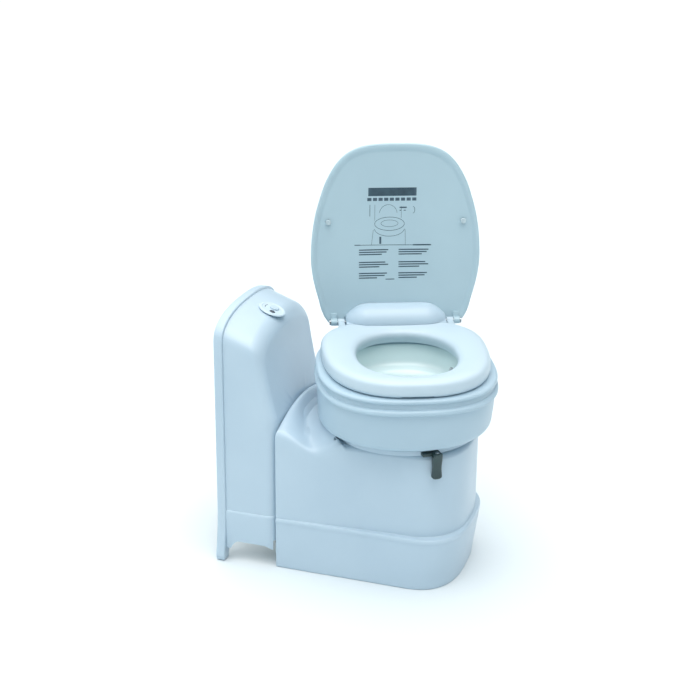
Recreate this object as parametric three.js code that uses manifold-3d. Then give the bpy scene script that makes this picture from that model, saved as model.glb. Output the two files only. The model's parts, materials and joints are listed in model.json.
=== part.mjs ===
// Cassette toilet with a swivelling bowl, for a motorhome or caravan washroom.
// Millimetres, +Z up, front (rounded nose) towards -Y, wall side towards +Y.
// Origin: on the floor, on the swivel axis of the bowl.
import * as THREE from 'three';
import { mergeVertices } from 'three/addons/utils/BufferGeometryUtils.js';
import Module from 'manifold-3d';

const wasm = await Module();
wasm.setup();

// ---------------------------------------------------------------- dimensions
const WALL_Y = 375;            // wall plane behind the rear frame
const FRAME_T = 20;            // thickness of the arched rear frame
const SEAM_Y = 239;            // joint between tower and base casings
const HALF_W = 153;            // half width of tower and base at the seam
const FRAME_HALF_W = 157;      // half width of the rear frame
const ARCH_TOP = 565;          // top of the rear frame
const ARCH_RISE = 60;          // height of the arch above its straight sides
const TOWER_TOP = 560;         // tower height at the rear frame
const TOP_SLOPE = 0.36;        // fall of the tower top per mm towards the bowl
const SKIN = 3.5;              // casing wall
const NOSE_C = -40;            // where the rounded nose starts
const LEDGE_Z = 119;           // height of the ledge around base and tower
const HOLE_R = 128.3;            // opening in the deck for the swivel bearing
const DECK_Z = 308;            // deck level under the bowl
const BOWL_TURN = -66.5;       // heading of the bowl at rest, degrees from straight ahead
const HINGE_Y = 184, HINGE_Z = 484;  // seat and lid hinge line, in the bowl's own frame
const LID_LEAN = 5;            // the open lid leans back by this many degrees
const SEAT_Z0 = 456.5, SEAT_Z1 = 490;

const PANEL_AT = [-8, 300, TOWER_TOP - TOP_SLOPE * (355 - 300) + 0.9];  // flush panel on the tower top
const PANEL_TILT = Math.atan(TOP_SLOPE);

// ---------------------------------------------------------------- helpers
const clamp01 = (v) => Math.min(1, Math.max(0, v));
const smooth = (v) => { const t = clamp01(v); return t * t * (3 - 2 * t); };
const spow = (v, p) => Math.sign(v) * Math.pow(Math.abs(v), p);
const mat = (color, roughness = 0.3, metalness = 0) => new THREE.MeshStandardMaterial({ color, roughness, metalness });
const WHITE = () => mat('#dfe9f0', 0.22);
const DARK = () => mat('#1f2b2b', 0.45);
const GREY = () => mat('#9aa2a6', 0.5);
const RUBBER = () => mat('#2a2c2e', 0.8);
const STEEL = () => mat('#b9bdc0', 0.3, 1);

function toSolid(geometry) {
  const g = geometry.clone();
  g.deleteAttribute('normal');
  g.deleteAttribute('uv');
  const m = mergeVertices(g, 1e-4);
  return new wasm.Manifold(new wasm.Mesh({
    numProp: 3,
    vertProperties: new Float32Array(m.attributes.position.array),
    triVerts: new Uint32Array(m.index.array),
  }));
}
function toGeometry(solid) {
  const mesh = solid.getMesh();
  const p = new Float32Array(mesh.numVert * 3);
  for (let i = 0; i < mesh.numVert; i++) for (let k = 0; k < 3; k++) p[3 * i + k] = mesh.vertProperties[i * mesh.numProp + k];
  const g = new THREE.BufferGeometry();
  g.setAttribute('position', new THREE.BufferAttribute(p, 3));
  g.setIndex(Array.from(mesh.triVerts));
  g.computeVertexNormals();
  return g;
}
// a - b - c ... and a + b + c ...
const cut = (a, ...rest) => toGeometry(rest.reduce((s, g) => s.subtract(toSolid(g)), toSolid(a)));
const join = (a, ...rest) => toGeometry(rest.reduce((s, g) => s.add(toSolid(g)), toSolid(a)));

// Skin over a stack of closed rings with equal point counts. `torus` joins the
// last ring back to the first; otherwise both ends are closed with a fan.
function loft(rings, torus = false) {
  const n = rings[0].length, pos = [], idx = [];
  rings.forEach((r) => r.forEach((p) => pos.push(p[0], p[1], p[2])));
  const m = rings.length, last = torus ? m : m - 1;
  for (let k = 0; k < last; k++) {
    const a = k * n, b = ((k + 1) % m) * n;
    for (let i = 0; i < n; i++) {
      const j = (i + 1) % n;
      idx.push(a + i, a + j, b + j, a + i, b + j, b + i);
    }
  }
  if (!torus) {
    for (const [k, flip] of [[0, true], [m - 1, false]]) {
      const c = [0, 0, 0];
      rings[k].forEach((p) => { c[0] += p[0] / n; c[1] += p[1] / n; c[2] += p[2] / n; });
      const ci = pos.length / 3;
      pos.push(...c);
      for (let i = 0; i < n; i++) {
        const j = (i + 1) % n;
        if (flip) idx.push(ci, k * n + j, k * n + i); else idx.push(ci, k * n + i, k * n + j);
      }
    }
  }
  let vol = 0;
  for (let t = 0; t < idx.length; t += 3) {
    const [a, b, c] = [idx[t] * 3, idx[t + 1] * 3, idx[t + 2] * 3];
    vol += pos[a] * (pos[b + 1] * pos[c + 2] - pos[b + 2] * pos[c + 1])
      - pos[a + 1] * (pos[b] * pos[c + 2] - pos[b + 2] * pos[c])
      + pos[a + 2] * (pos[b] * pos[c + 1] - pos[b + 1] * pos[c]);
  }
  if (vol < 0) for (let t = 0; t < idx.length; t += 3) [idx[t + 1], idx[t + 2]] = [idx[t + 2], idx[t + 1]];
  const g = new THREE.BufferGeometry();
  g.setAttribute('position', new THREE.BufferAttribute(new Float32Array(pos), 3));
  g.setIndex(idx);
  g.computeVertexNormals();
  return g;
}
const box = (x0, x1, y0, y1, z0, z1) => new THREE.BoxGeometry(x1 - x0, y1 - y0, z1 - z0).translate((x0 + x1) / 2, (y0 + y1) / 2, (z0 + z1) / 2);
// solid of revolution about +Z through (x, y); pts are [radius, height] pairs of a closed or axis-to-axis profile
const turn = (pts, seg, x = 0, y = 0, z = 0) => new THREE.LatheGeometry(pts.map(([r, h]) => new THREE.Vector2(r, h)), seg).rotateX(Math.PI / 2).translate(x, y, z);
const disc = (r, z0, z1, seg, x = 0, y = 0) => turn([[0, z0], [r, z0], [r, z1], [0, z1]], seg, x, y);
const tube = (r0, r1, z0, z1, seg, x = 0, y = 0) => turn([[r0, z0], [r1, z0], [r1, z1], [r0, z1], [r0, z0]], seg, x, y);
// turns a piece made along +Z so that it points along +Y or +X
const alongY = (g, x, y, z) => g.rotateX(-Math.PI / 2).translate(x, y, z);
const alongX = (g, x, y, z) => g.rotateY(Math.PI / 2).translate(x, y, z);
// prism: outline in XY, from z0 to z1
const prism = (pts, z0, z1) => new THREE.ExtrudeGeometry(new THREE.Shape(pts.map(([a, b]) => new THREE.Vector2(a, b))), { depth: z1 - z0, bevelEnabled: false, steps: 1 }).translate(0, 0, z0);
// slab: outline in XZ, from y0 to y1
const slab = (pts, y0, y1, holes = []) => {
  const s = new THREE.Shape(pts.map(([a, b]) => new THREE.Vector2(a, b)));
  holes.forEach((h) => s.holes.push(new THREE.Path(h.map(([a, b]) => new THREE.Vector2(a, b)))));
  return new THREE.ExtrudeGeometry(s, { depth: y1 - y0, bevelEnabled: false, steps: 1 }).rotateX(Math.PI / 2).translate(0, y1, 0);
};
// rib: outline in YZ, from x0 to x1
const rib = (pts, x0, x1) => new THREE.ExtrudeGeometry(new THREE.Shape(pts.map(([a, b]) => new THREE.Vector2(a, b))), { depth: x1 - x0, bevelEnabled: false, steps: 1 })
  .applyMatrix4(new THREE.Matrix4().set(0, 0, 1, 0, 1, 0, 0, 0, 0, 1, 0, 0, 0, 0, 0, 1)).translate(x0, 0, 0);

const root = new THREE.Group();
const bowlGroup = new THREE.Group();
bowlGroup.rotation.z = THREE.MathUtils.degToRad(BOWL_TURN);
root.add(bowlGroup);
function add(name, geometry, material, parent = root) {
  const m = new THREE.Mesh(geometry, material);
  m.name = name;
  parent.add(m);
  return m;
}

// ---------------------------------------------------------------- rear frame
function archPoints(w, zs, rise, n, seg) {
  const pts = [];
  for (let i = 0; i <= seg; i++) {
    const a = Math.PI - (i / seg) * Math.PI;
    pts.push([w * spow(Math.cos(a), 2 / n), zs + rise * spow(Math.sin(a), 2 / n)]);
  }
  return pts;
}
{
  const w = FRAME_HALF_W, zs = ARCH_TOP - ARCH_RISE;
  const outline = [[-w - 14, 10], [-w - 7, 48], [-w - 2, 84], [-w, 116], ...archPoints(w, zs, ARCH_RISE, 2.5, 18), [w, 116], [w + 2, 84], [w + 7, 48], [w + 14, 10],
    [w + 10, 0], [w - 12, 0], [w - 20, 22], [131, 36], [131, 232], [123, 250], [-123, 250], [-131, 232], [-131, 36], [-w + 20, 22], [-w + 12, 0], [-w - 10, 0]];
  const service = [...archPoints(116, 462, 44, 3, 12), [116, 282], [-116, 282]].reverse();
  const bores = [], seats = [];
  for (const [x, z] of [[-143, 300], [143, 300], [-143, 450], [143, 450]]) {
    bores.push(alongY(disc(4.3, 0, 40, 12), x, 345, z));
    seats.push(alongY(disc(7.4, 0, 20, 12), x, 371, z));
  }
  add('rear_frame', cut(slab(outline, WALL_Y - FRAME_T, WALL_Y, [service]), ...bores, ...seats), WHITE());
  [[-143, 300], [143, 300], [-143, 450], [143, 450]].forEach(([x, z], i) => {
    add(`frame_screw_${i + 1}`, alongY(turn([[0, 0], [3.8, 0], [3.8, 31.3], [6.9, 31.3], [6.9, 34.3], [0, 34.3]], 10), x, 340.2, z), STEEL());
  });
}

// ---------------------------------------------------------------- tower casing
const towerFront = (z) => SEAM_Y + 0.4 + (z > 345 ? 37 * Math.pow((z - 345) / 187, 0.75) : 0);
function towerRing(inset, y, offset, shrink = 1) {
  // closed outline in XZ, near side up, over the arch, far side down, along the bottom
  const w = HALF_W - inset, guess = offset === null ? y : 274 + offset;
  const top = TOWER_TOP - TOP_SLOPE * (355 - guess) - inset, zs = top - 58 + inset * 0.4, zb = 28;
  const pts = [];
  for (const [z, d] of [[zb, 3], [112, 3], [117, 2.2], [119.2, 0], [240, 0], [345, 0], [420, 0]]) pts.push([-w - d, z]);
  archPoints(w, zs, top - zs, 2.4, 18).forEach((p) => pts.push(p));
  for (const [z, d] of [[420, 0], [345, 0], [240, 0], [119.2, 0], [117, 2.2], [112, 3], [zb, 3]]) pts.push([w + d, z]);
  for (const x of [0.5, 0, -0.5]) pts.push([w * x, zb]);
  return pts.map(([px, pz]) => {
    const x = px * shrink, z = 300 + (pz - 300) * shrink;
    return [x, offset === null ? y : towerFront(z) + offset, z];
  });
}
{
  const shell = (inset, back, dy) => {
    const R = 24;
    const rings = [towerRing(inset, back, null)];
    rings.push(towerRing(inset, 0, R + dy));
    for (const a of [30, 60, 90]) {
      const t = (a * Math.PI) / 180;
      rings.push(towerRing(inset + R * (1 - Math.cos(t)), 0, dy + R * (1 - Math.sin(t))));
    }
    for (const s of [0.72, 0.4, 0.1]) rings.push(towerRing(inset + R, 0, dy, s));
    return loft(rings);
  };
  const outer = shell(0, WALL_Y - FRAME_T - 0.3, 0);
  const inner = shell(SKIN, WALL_Y - FRAME_T + 6, SKIN);
  const notch = rib([[246, 10], [246, 37], [262, 47], [330, 47], [338, 40], [345, 30], [345, 10]], -170, 170);
  const floorCut = box(-HALF_W + SKIN, HALF_W - SKIN, SEAM_Y + 4, 360, 20, 60);
  const bay = box(-130, 130, 230, 262, 10, 254);
  const well = disc(10.8, -9, 4, 20, 6, -2).rotateX(PANEL_TILT).translate(...PANEL_AT);
  add('tower_shell', cut(outer, inner, notch, floorCut, bay, well), WHITE());
}

// ---------------------------------------------------------------- base casing
// plan outline: rear edge, near side, nose, far side
const PLAN = { rear: 6, side: 3, nose: 16 };
function plan(w0, w1, yn, n, yr) {
  const pts = [];
  for (let i = 0; i <= PLAN.rear; i++) pts.push([w0 * (1 - (2 * i) / PLAN.rear), yr]);
  const side = (s) => { const out = []; for (let i = 1; i <= PLAN.side; i++) { const t = i / (PLAN.side + 1); out.push([s * (w0 + (w1 - w0) * smooth(t)), yr + (NOSE_C - yr) * t]); } return out; };
  side(-1).forEach((p) => pts.push(p));
  for (let i = 0; i <= PLAN.nose; i++) {
    const a = (i / PLAN.nose) * Math.PI;
    pts.push([-w1 * spow(Math.cos(a), 2 / n), NOSE_C + (yn - NOSE_C) * spow(Math.sin(a), 2 / n)]);
  }
  side(1).reverse().forEach((p) => pts.push(p));
  return pts;
}
function deck(x, y) {
  const r = Math.hypot(x, y), q = Math.min(1, Math.abs(x) / HALF_W);
  const valley = 324 - 42 * Math.pow(q, 2.2), crest = 351 - 31 * q * q, rv = 210;
  if (y > 0 && r >= rv) {
    const yv = Math.sqrt(Math.max(0, rv * rv - x * x));
    return valley + (crest - valley) * smooth((y - yv) / (230 - yv) * 0.9 + 0.05);
  }
  const collar = DECK_Z + 17 * smooth((y - 50) / 70);
  if (r < 166) return DECK_Z;
  if (r < 174) return DECK_Z + (collar - DECK_Z) * smooth((r - 166) / 8);
  if (y < 40) return DECK_Z;
  const t = clamp01((r - 174) / (rv - 174));
  const outer = valley + (collar - valley) * Math.pow(1 - t, 2.2);
  return DECK_Z + (outer - DECK_Z) * smooth((y - 40) / 50);
}
{
  const SKIRT = (d) => plan(HALF_W - d, 151 - d, -151 + d, 2.75, SEAM_Y - d * 0.4);
  const LIP = (d) => plan(156 - d, 153 - d, -165 + d, 3, SEAM_Y - d * 0.4);
  const BODY = (d) => plan(HALF_W - d, 139 - d, -157 + d, 2.6, SEAM_Y - d * 0.4);
  const at = (pts, z) => pts.map(([x, y]) => [x, y, z]);
  const mix = (a, b, t) => a.map((p, i) => [p[0] + (b[i][0] - p[0]) * t, p[1] + (b[i][1] - p[1]) * t]);
  const onDeck = (pts, drop) => pts.map(([x, y]) => [x, y, deck(x, y) - drop]);
  const edge = BODY(12);
  const hole = edge.map(([x, y]) => { const r = Math.hypot(x, y); return [(x / r) * (HOLE_R - 8), (y / r) * (HOLE_R - 8)]; });
  
  const S = [0.12, 0.28, 0.45, 0.62, 0.8, 0.92, 1];
  const rings = [
    at(SKIRT(0), 0), at(mix(SKIRT(0), LIP(1), 0.55), 60), at(LIP(1.2), 106), at(LIP(0), 111), at(LIP(0.6), 116), at(LIP(3), LEDGE_Z),
    at(BODY(0), LEDGE_Z + 1.2), onDeck(BODY(0), 13), onDeck(BODY(1.6), 6.5), onDeck(BODY(5.5), 1.8), onDeck(edge, 0),
    ...S.map((s) => onDeck(mix(edge, hole, s), 0)),
    ...[1, 0.8, 0.45, 0.12].map((s) => onDeck(mix(BODY(14), hole, s), SKIN)),
    onDeck(BODY(6), 6), onDeck(BODY(SKIN), 16), at(BODY(SKIN), LEDGE_Z - 2.4), at(LIP(5.5), LEDGE_Z - 4), at(LIP(SKIN + 0.6), 108), at(mix(SKIRT(0), LIP(0), 0.5).map(([x, y]) => [x * 0.975, y > 0 ? y - 1.5 : y * 0.975]), 60), at(SKIRT(SKIN), 0),
  ];
  const shell = loft(rings, true);
  add('base_shell', cut(shell, box(-126, 126, 225, 250, -5, 250), disc(HOLE_R, 280, 360, 40), disc(167, DECK_Z, 360, 40)), WHITE());
}

// ---------------------------------------------------------------- floor tray with cassette runners
{
  const p = [[120, 236], [-120, 236], [-123, 222], [-143, 208], [-142, 60], [-140, -40], [-131, -90], [-109, -122], [-68, -139], [0, -142], [68, -139], [109, -122], [131, -90], [140, -40], [142, 60], [143, 208], [123, 222]];
  const plate = prism(p.slice().reverse(), 0, 5);
  const runner = (x) => box(x - 4, x + 4, -100, 234, 4, 9.5);
  add('floor_tray', join(plate, runner(-88), runner(88)), GREY());
}

// ---------------------------------------------------------------- swivel bearing
add('bearing_ring', turn([[112, 303], [127.7, 303], [127.7, 308.3], [140, 308.3], [140, 324], [112, 324], [112, 303]], 28), GREY());

// blade-lever ring: turns on the outside of the bearing ring, under the bowl
const LEVER_A = 50.7;          // lever position, degrees from straight ahead towards -X
{
  const a = THREE.MathUtils.degToRad(-90 - LEVER_A);
  add('lever_ring', turn([[141.6, 309], [158, 309], [158, 319], [141.6, 319], [141.6, 309]], 32), WHITE());
  const grip = prism([[169.4, -10], [176, -11], [182, -9], [184, 0], [182, 9], [176, 11], [169.4, 10], [168.6, 0]], 261, 313);
  const arm = box(158.8, 184, -9, 9, 312, 319), wing = box(158.8, 172, -30, -8, 312, 319);
  add('blade_lever', join(grip, arm, wing).rotateZ(a), DARK());
  const c = [176.5 * Math.cos(a), 176.5 * Math.sin(a)];
  add('lever_screw', turn([[0, 0], [4.2, 0], [4.2, 2.4], [0, 2.4]], 10, c[0], c[1], 319.3), STEEL());
}

// ---------------------------------------------------------------- control panel on the tower top
{
  const panel = new THREE.Group();
  panel.position.set(...PANEL_AT);
  panel.rotation.x = PANEL_TILT;
  root.add(panel);
  const plate = turn([[0, 0], [30, 0], [30, 1.6], [28, 3.2], [24, 3.4], [22.5, 2.4], [0, 2.4]], 28);
  const bore = disc(10.4, -4, 8, 24, 6, -2);
  const lensSeat = disc(6.4, 1.2, 8, 16, -13, -5);
  add('control_panel', cut(plate, bore, lensSeat), mat('#e8eff6', 0.25), panel);
  add('flush_button', turn([[0, 0.4], [10, 0.4], [10, 5.2], [9, 6], [0, 6]], 24, 6, -2), WHITE(), panel);
  add('indicator_lens', turn([[0, 1.5], [6.1, 1.5], [6.1, 2.7], [4.6, 3.4], [0, 3.6]], 16, -13, -5), mat('#1c2a44', 0.1), panel);
}

// ---------------------------------------------------------------- flush-water tank, filler, pump and hose
{
  const rr = (w, z0, z1, r) => { const o = []; for (const [cx, cz, a0] of [[w - r, z1 - r, 0], [-w + r, z1 - r, 90], [-w + r, z0 + r, 180], [w - r, z0 + r, 270]]) for (let k = 0; k <= 3; k++) { const a = THREE.MathUtils.degToRad(a0 + k * 30); o.push([cx + r * Math.cos(a), cz + r * Math.sin(a)]); } return o; };
  const body = slab(rr(120, 270, 496, 26), 282, 342);
  const hollow = slab(rr(117, 273, 493, 24), 285, 339);
  const mouth = alongY(disc(17, 0, 40, 20), 62, 330, 452);
  const outlet = disc(5, 265, 275, 12, -70, 312);
  add('flush_tank', cut(body, hollow, mouth, outlet), mat('#e9ecec', 0.4));
  add('filler_neck', alongY(tube(17, 21, 0, 23.7, 20), 62, 342.3, 452), mat('#e9ecec', 0.4));
  add('fill_cap', alongY(turn([[21.4, 0], [26, 0], [26, 19], [24, 21], [0, 21], [0, 18], [21.4, 18], [21.4, 0]], 24), 62, 350, 452), GREY());
  add('pump', turn([[0, 0], [19, 0], [19, 40], [12, 46], [0, 46]], 16, -70, 312, 273.3), DARK());
  const route = new THREE.CatmullRomCurve3([[-70, 312, 269.2], [-70, 312, 260], [-73, 300, 246], [-79, 272, 240], [-80, 220, 240], [-79, 170, 241], [-72, 128, 247], [-63, 108, 257], [-62, 104, 267], [-62, 104, 275.4]].map((p) => new THREE.Vector3(...p)));
  const ring = []; for (let i = 0; i < 8; i++) ring.push(new THREE.Vector2(6 * Math.cos(i * Math.PI / 4), 6 * Math.sin(i * Math.PI / 4)));
  add('flush_hose', new THREE.ExtrudeGeometry(new THREE.Shape(ring), { extrudePath: route, steps: 24, bevelEnabled: false }), mat('#c9d3d6', 0.35));
  add('water_union', turn([[0, 276], [9, 276], [9, 286], [6, 292.4], [0, 292.4]], 14, -62, 104), GREY());
}

// ---------------------------------------------------------------- bowl, shroud, rim
// plan shape in the bowl's own frame: half width a, front and rear half lengths, centre line offset c
const BN = 26;
function oval(a, front, rear, n, c = 0, count = BN, nRear = n) {
  const pts = [];
  for (let i = 0; i < count; i++) {
    const t = (i / count) * Math.PI * 2, s = Math.sin(t);
    const m = s < 0 ? n : nRear;
    pts.push([a * spow(Math.cos(t), 2 / m), c + (s < 0 ? front : rear) * spow(s, 2 / m)]);
  }
  return pts;
}
const lift = (pts, z) => pts.map(([x, y]) => [x, y, z]);
{
  // swivel flange and its spigot, held from below by the retaining ring
  add('swivel_flange', tube(98, 150, 324.4, 328.4, 28), GREY(), bowlGroup);
  add('swivel_spigot', tube(98, 110.6, 298, 324.1, 28), GREY(), bowlGroup);
  add('retaining_ring', turn([[98, 293], [121, 293], [121, 297.6], [98, 297.6], [98, 293]], 28), STEEL(), bowlGroup);
  // outer shroud: open at the top and bottom, its rounded foot overhangs the deck
  const SH = [
    [150, 150, 150, 2, 329], [172, 176, 174, 2.1, 329.2], [181, 187, 183, 2.1, 333], [185, 193, 188, 2.15, 341], [186, 196, 190, 2.25, 356], [187, 201, 194, 2.4, 385], [188, 205, 198, 2.5, 419],
    [184.6, 201.6, 194.6, 2.5, 419], [183.6, 197.6, 190.6, 2.4, 385], [182, 192, 186, 2.25, 356], [181, 189, 184, 2.15, 344], [177, 183, 179, 2.1, 337], [170, 174, 172, 2.1, 333], [150, 150, 150, 2, 333],
  ];
  add('bowl_shroud', loft(SH.map(([a, f, r, n, z]) => lift(oval(a, f, r, n), z)), true), WHITE(), bowlGroup);
  // rim with two rounded lips and a recessed band between them
  const RM = [
    [184, 201, 194, 2.5, 419.6], [190, 211, 202, 2.6, 419.6], [192.4, 214, 204.5, 2.6, 423], [192.4, 214, 204.5, 2.6, 427], [189.5, 211, 202, 2.6, 430.5], [185.6, 206.4, 198.4, 2.6, 432.4], [184.8, 205.6, 197.4, 2.6, 443],
    [189.4, 210.4, 202, 2.6, 445.6], [190, 211, 202.6, 2.6, 449.5], [187, 207.6, 200, 2.6, 453], [180, 200, 193, 2.6, 454.4], [128, 158, 138, 2.3, 454.4], [124, 154, 134, 2.3, 451], [123.6, 153.6, 133.6, 2.3, 441],
    [127, 157, 137, 2.3, 441], [130, 160, 140, 2.3, 450], [178, 198, 190, 2.6, 450], [181.6, 202.6, 194.6, 2.6, 446], [181.6, 201.8, 194.4, 2.6, 432], [184, 203, 196, 2.6, 428],
  ];
  add('rim_ring', loft(RM.map(([a, f, r, n, z]) => lift(oval(a, f, r, n), z)), true), WHITE(), bowlGroup);
  // inner bowl: steep wall, shelf, sloping floor and a round outlet spigot
  const IB = [
    [121, 151, 131, 2.3, 449], [118.4, 147.4, 127.4, 2.3, 430], [115.4, 144, 124, 2.3, 411], [111, 138, 118, 2.3, 403], [99, 118, 103, 2.25, 397], [87, 97, 89, 2.15, 374], [81, 85, 81, 2.05, 338], [74, 76, 74, 2, 308], [58, 60, 58, 2, 286], [46, 46, 46, 2, 262], [42, 42, 42, 2, 246], [42, 42, 42, 2, 219],
    [46, 46, 46, 2, 219], [46, 46, 46, 2, 246], [50, 50, 50, 2, 262], [62, 64, 62, 2, 283], [78, 80, 78, 2, 305], [85, 89, 85, 2.05, 336], [91, 101, 93, 2.15, 371], [103, 122, 107, 2.25, 392.6], [115, 142, 122, 2.3, 398.6], [119.4, 148, 128, 2.3, 410], [121.8, 151.4, 131.4, 2.3, 431], [121.9, 151.9, 131.9, 2.3, 449],
  ];
  add('inner_bowl', loft(IB.map(([a, f, r, n, z]) => lift(oval(a, f, r, n), z)), true), mat('#d9e6dc', 0.2), bowlGroup);
  // two flush nozzles clipped to the bowl wall
  for (const [name, s] of [['flush_nozzle_left', 1], ['flush_nozzle_right', -1]]) {
    const g = new THREE.SphereGeometry(7, 12, 8).scale(0.6, 1.2, 0.8).translate(s * 104.6, 30, 424);
    add(name, g, mat('#7f8f93', 0.4), bowlGroup);
  }
}

// ---------------------------------------------------------------- seat, lid and their hinge
{
  const domeR = (x) => 42 - 27 * Math.pow(Math.min(1, Math.max(0, (Math.abs(x) - 60) / 52)), 2.2);  // cover over the hinge
  const SO = (d) => oval(178 - d, 236 - d, 158 - d, 2.55, 30);
  const SI = (d) => oval(106 + d, 134 + d, 132 + d, 2.2, -17);
  const ring = [[SI(6), SEAT_Z0], [SO(5), SEAT_Z0], [SO(0.6), SEAT_Z0 + 5], [SO(0), SEAT_Z0 + 16], [SO(2.4), SEAT_Z0 + 26], [SO(9), SEAT_Z1 - 2.2], [SO(22), SEAT_Z1], [SI(22), SEAT_Z1 - 1.5], [SI(9), SEAT_Z1 - 4.5], [SI(2), SEAT_Z1 - 10], [SI(0), SEAT_Z1 - 18]].map(([p, z]) => lift(p, z));
  const seatRing = loft(ring, true);
  const DX = [-112, -108, -103, -97, -90, -82, -72, -60, 60, 72, 82, 90, 97, 103, 108, 112];
  const blockGap = prism([[-114, 230], [-114, HINGE_Y - 31], ...DX.map((x) => [x, HINGE_Y - Math.max(domeR(x), 29.2) - 1.8]), [114, HINGE_Y - 31], [114, 230]], 440, 500);
  const knuckle = (x0, x1) => alongX(disc(7.8, 0, x1 - x0, 16), x0, HINGE_Y, HINGE_Z);
  const strap = (x0, x1) => box(x0, x1, 132, HINGE_Y, 476.4, 487);
  const eye = alongX(disc(4.4, 0, 400, 16), -200, HINGE_Y, HINGE_Z);
  add('seat', cut(join(seatRing, strap(-129.5, -115), strap(115, 129.5), knuckle(-129.5, -115), knuckle(115, 129.5)), blockGap, eye, box(-34, 34, -215, -176, 450, 459.3)), WHITE(), bowlGroup);
  [[-140, -60], [140, -60], [-120, 120], [120, 120]].forEach(([x, y], i) => add(`seat_buffer_${i + 1}`, disc(7, 454.7, 456.2, 12, x, y), RUBBER(), bowlGroup));

  // lid, made closed over the seat and then swung back about the hinge line
  const lidGroup = new THREE.Group();
  lidGroup.position.set(0, HINGE_Y, HINGE_Z);
  lidGroup.rotation.x = -THREE.MathUtils.degToRad(90 + LID_LEAN);
  bowlGroup.add(lidGroup);
  // half width against distance from the hinge line towards the front
  const LW = [[-13, 96], [-11, 128], [-6, 146], [4, 155], [18, 162.5], [34, 168], [52, 172.5], [76, 179], [104, 185], [136, 188.5], [172, 188], [208, 184.5], [244, 178], [276, 169], [308, 158], [334, 145], [355, 131], [373, 113], [385, 92], [393, 64], [396, 32]];
  const LO = (d) => {
    const side = LW.map(([l, w]) => [w, HINGE_Y - l]), half = side.map(([x, y]) => [x * (1 - d / 190), 44 + (y - 44) * (1 - d / 205)]);
    return [...half.slice().reverse(), ...half.map(([x, y]) => [-x, y])].reverse();
  };
  const lz = 492.2;
  const lug = (x0, x1) => join(knuckle(x0, x1), box(x0, x1, HINGE_Y - 18, HINGE_Y + 8, 492.2, 502), box(x0, x1, HINGE_Y - 7.6, HINGE_Y + 7.6, 482, 496));
  const lugs = [lug(-145, -131), lug(131, 145)];
  // the lid is relieved round the hinge cover: same shape, 1.6 mm larger
  const lidGap = loft([-114.8, ...DX.slice(1, -1), 114.8].map((x) => {
    const R = (domeR(x) + 1.6) / Math.cos(Math.PI / 24), o = [];
    for (let k = 0; k < 24; k++) { const t = (k / 24) * Math.PI * 2; o.push([x, HINGE_Y + R * Math.cos(t), HINGE_Z + R * Math.sin(t)]); }
    return o;
  }));
  const lid = cut(join(loftLid(), lugs[0], lugs[1]), lidGap, eye);
  function loftLid() {
    // saucer-shaped plate: crowned outside, dished inside, rounded rolled edge
    const out = [];
    for (const s of [0.9, 0.66, 0.4, 0.18]) out.push(lift(LO(14).map(([x, y]) => [x * (1 - s), 5 + (y - 5) * (1 - s)]), lz + 4.5 + 11 * (1 - (1 - s) * (1 - s))));
    out.push(lift(LO(14), lz + 4.5), lift(LO(8), lz + 1), lift(LO(3), lz), lift(LO(0), lz + 2.4), lift(LO(0.4), lz + 6), lift(LO(5), lz + 9.4));
    for (const s of [0.12, 0.34, 0.6, 0.86]) out.push(lift(LO(5).map(([x, y]) => [x * (1 - s), 5 + (y - 5) * (1 - s)]), lz + 9.4 + 10 * (1 - (1 - s) * (1 - s))));
    return loft(out, false);
  }
  add('lid', lid.translate(0, -HINGE_Y, -HINGE_Z), WHITE(), lidGroup);
  [[-150, -40], [150, -40]].forEach(([x, y], i) => add(`lid_buffer_${i + 1}`, disc(6, lz - 1.9, lz + 4.2, 12, x, y).translate(0, -HINGE_Y, -HINGE_Z), RUBBER(), lidGroup));

  // hinge block on the rear of the rim, with a pin on either side
  const section = (x) => {
    const R = domeR(x), o = [[x, HINGE_Y - R, 478]];
    for (let a = 180; a >= 20; a -= 16) { const t = THREE.MathUtils.degToRad(a); o.push([x, HINGE_Y + R * Math.cos(t), HINGE_Z + R * Math.sin(t)]); }
    o.push([x, HINGE_Y + 12.4, 478]);
    return o;
  };
  const dome = loft(DX.map(section));
  const block = join(dome, box(-112, 112, HINGE_Y - 28.9, HINGE_Y + 13, 454.8, 490));
  const pinHole = alongX(disc(4.4, 0, 60, 16), -120, HINGE_Y, HINGE_Z);
  const pinHole2 = alongX(disc(4.4, 0, 60, 16), 60, HINGE_Y, HINGE_Z);
  add('hinge_block', cut(block, pinHole, pinHole2), WHITE(), bowlGroup);
  add('hinge_pin_left', alongX(turn([[0, 0], [4, 0], [4, 81.6], [6.5, 81.6], [6.5, 84.6], [0, 84.6]], 12), 64, HINGE_Y, HINGE_Z), STEEL(), bowlGroup);
  add('hinge_pin_right', alongX(turn([[0, 0], [6.5, 0], [6.5, 3], [4, 3], [4, 84.6], [0, 84.6]], 12), -148.6, HINGE_Y, HINGE_Z), STEEL(), bowlGroup);
}

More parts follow.
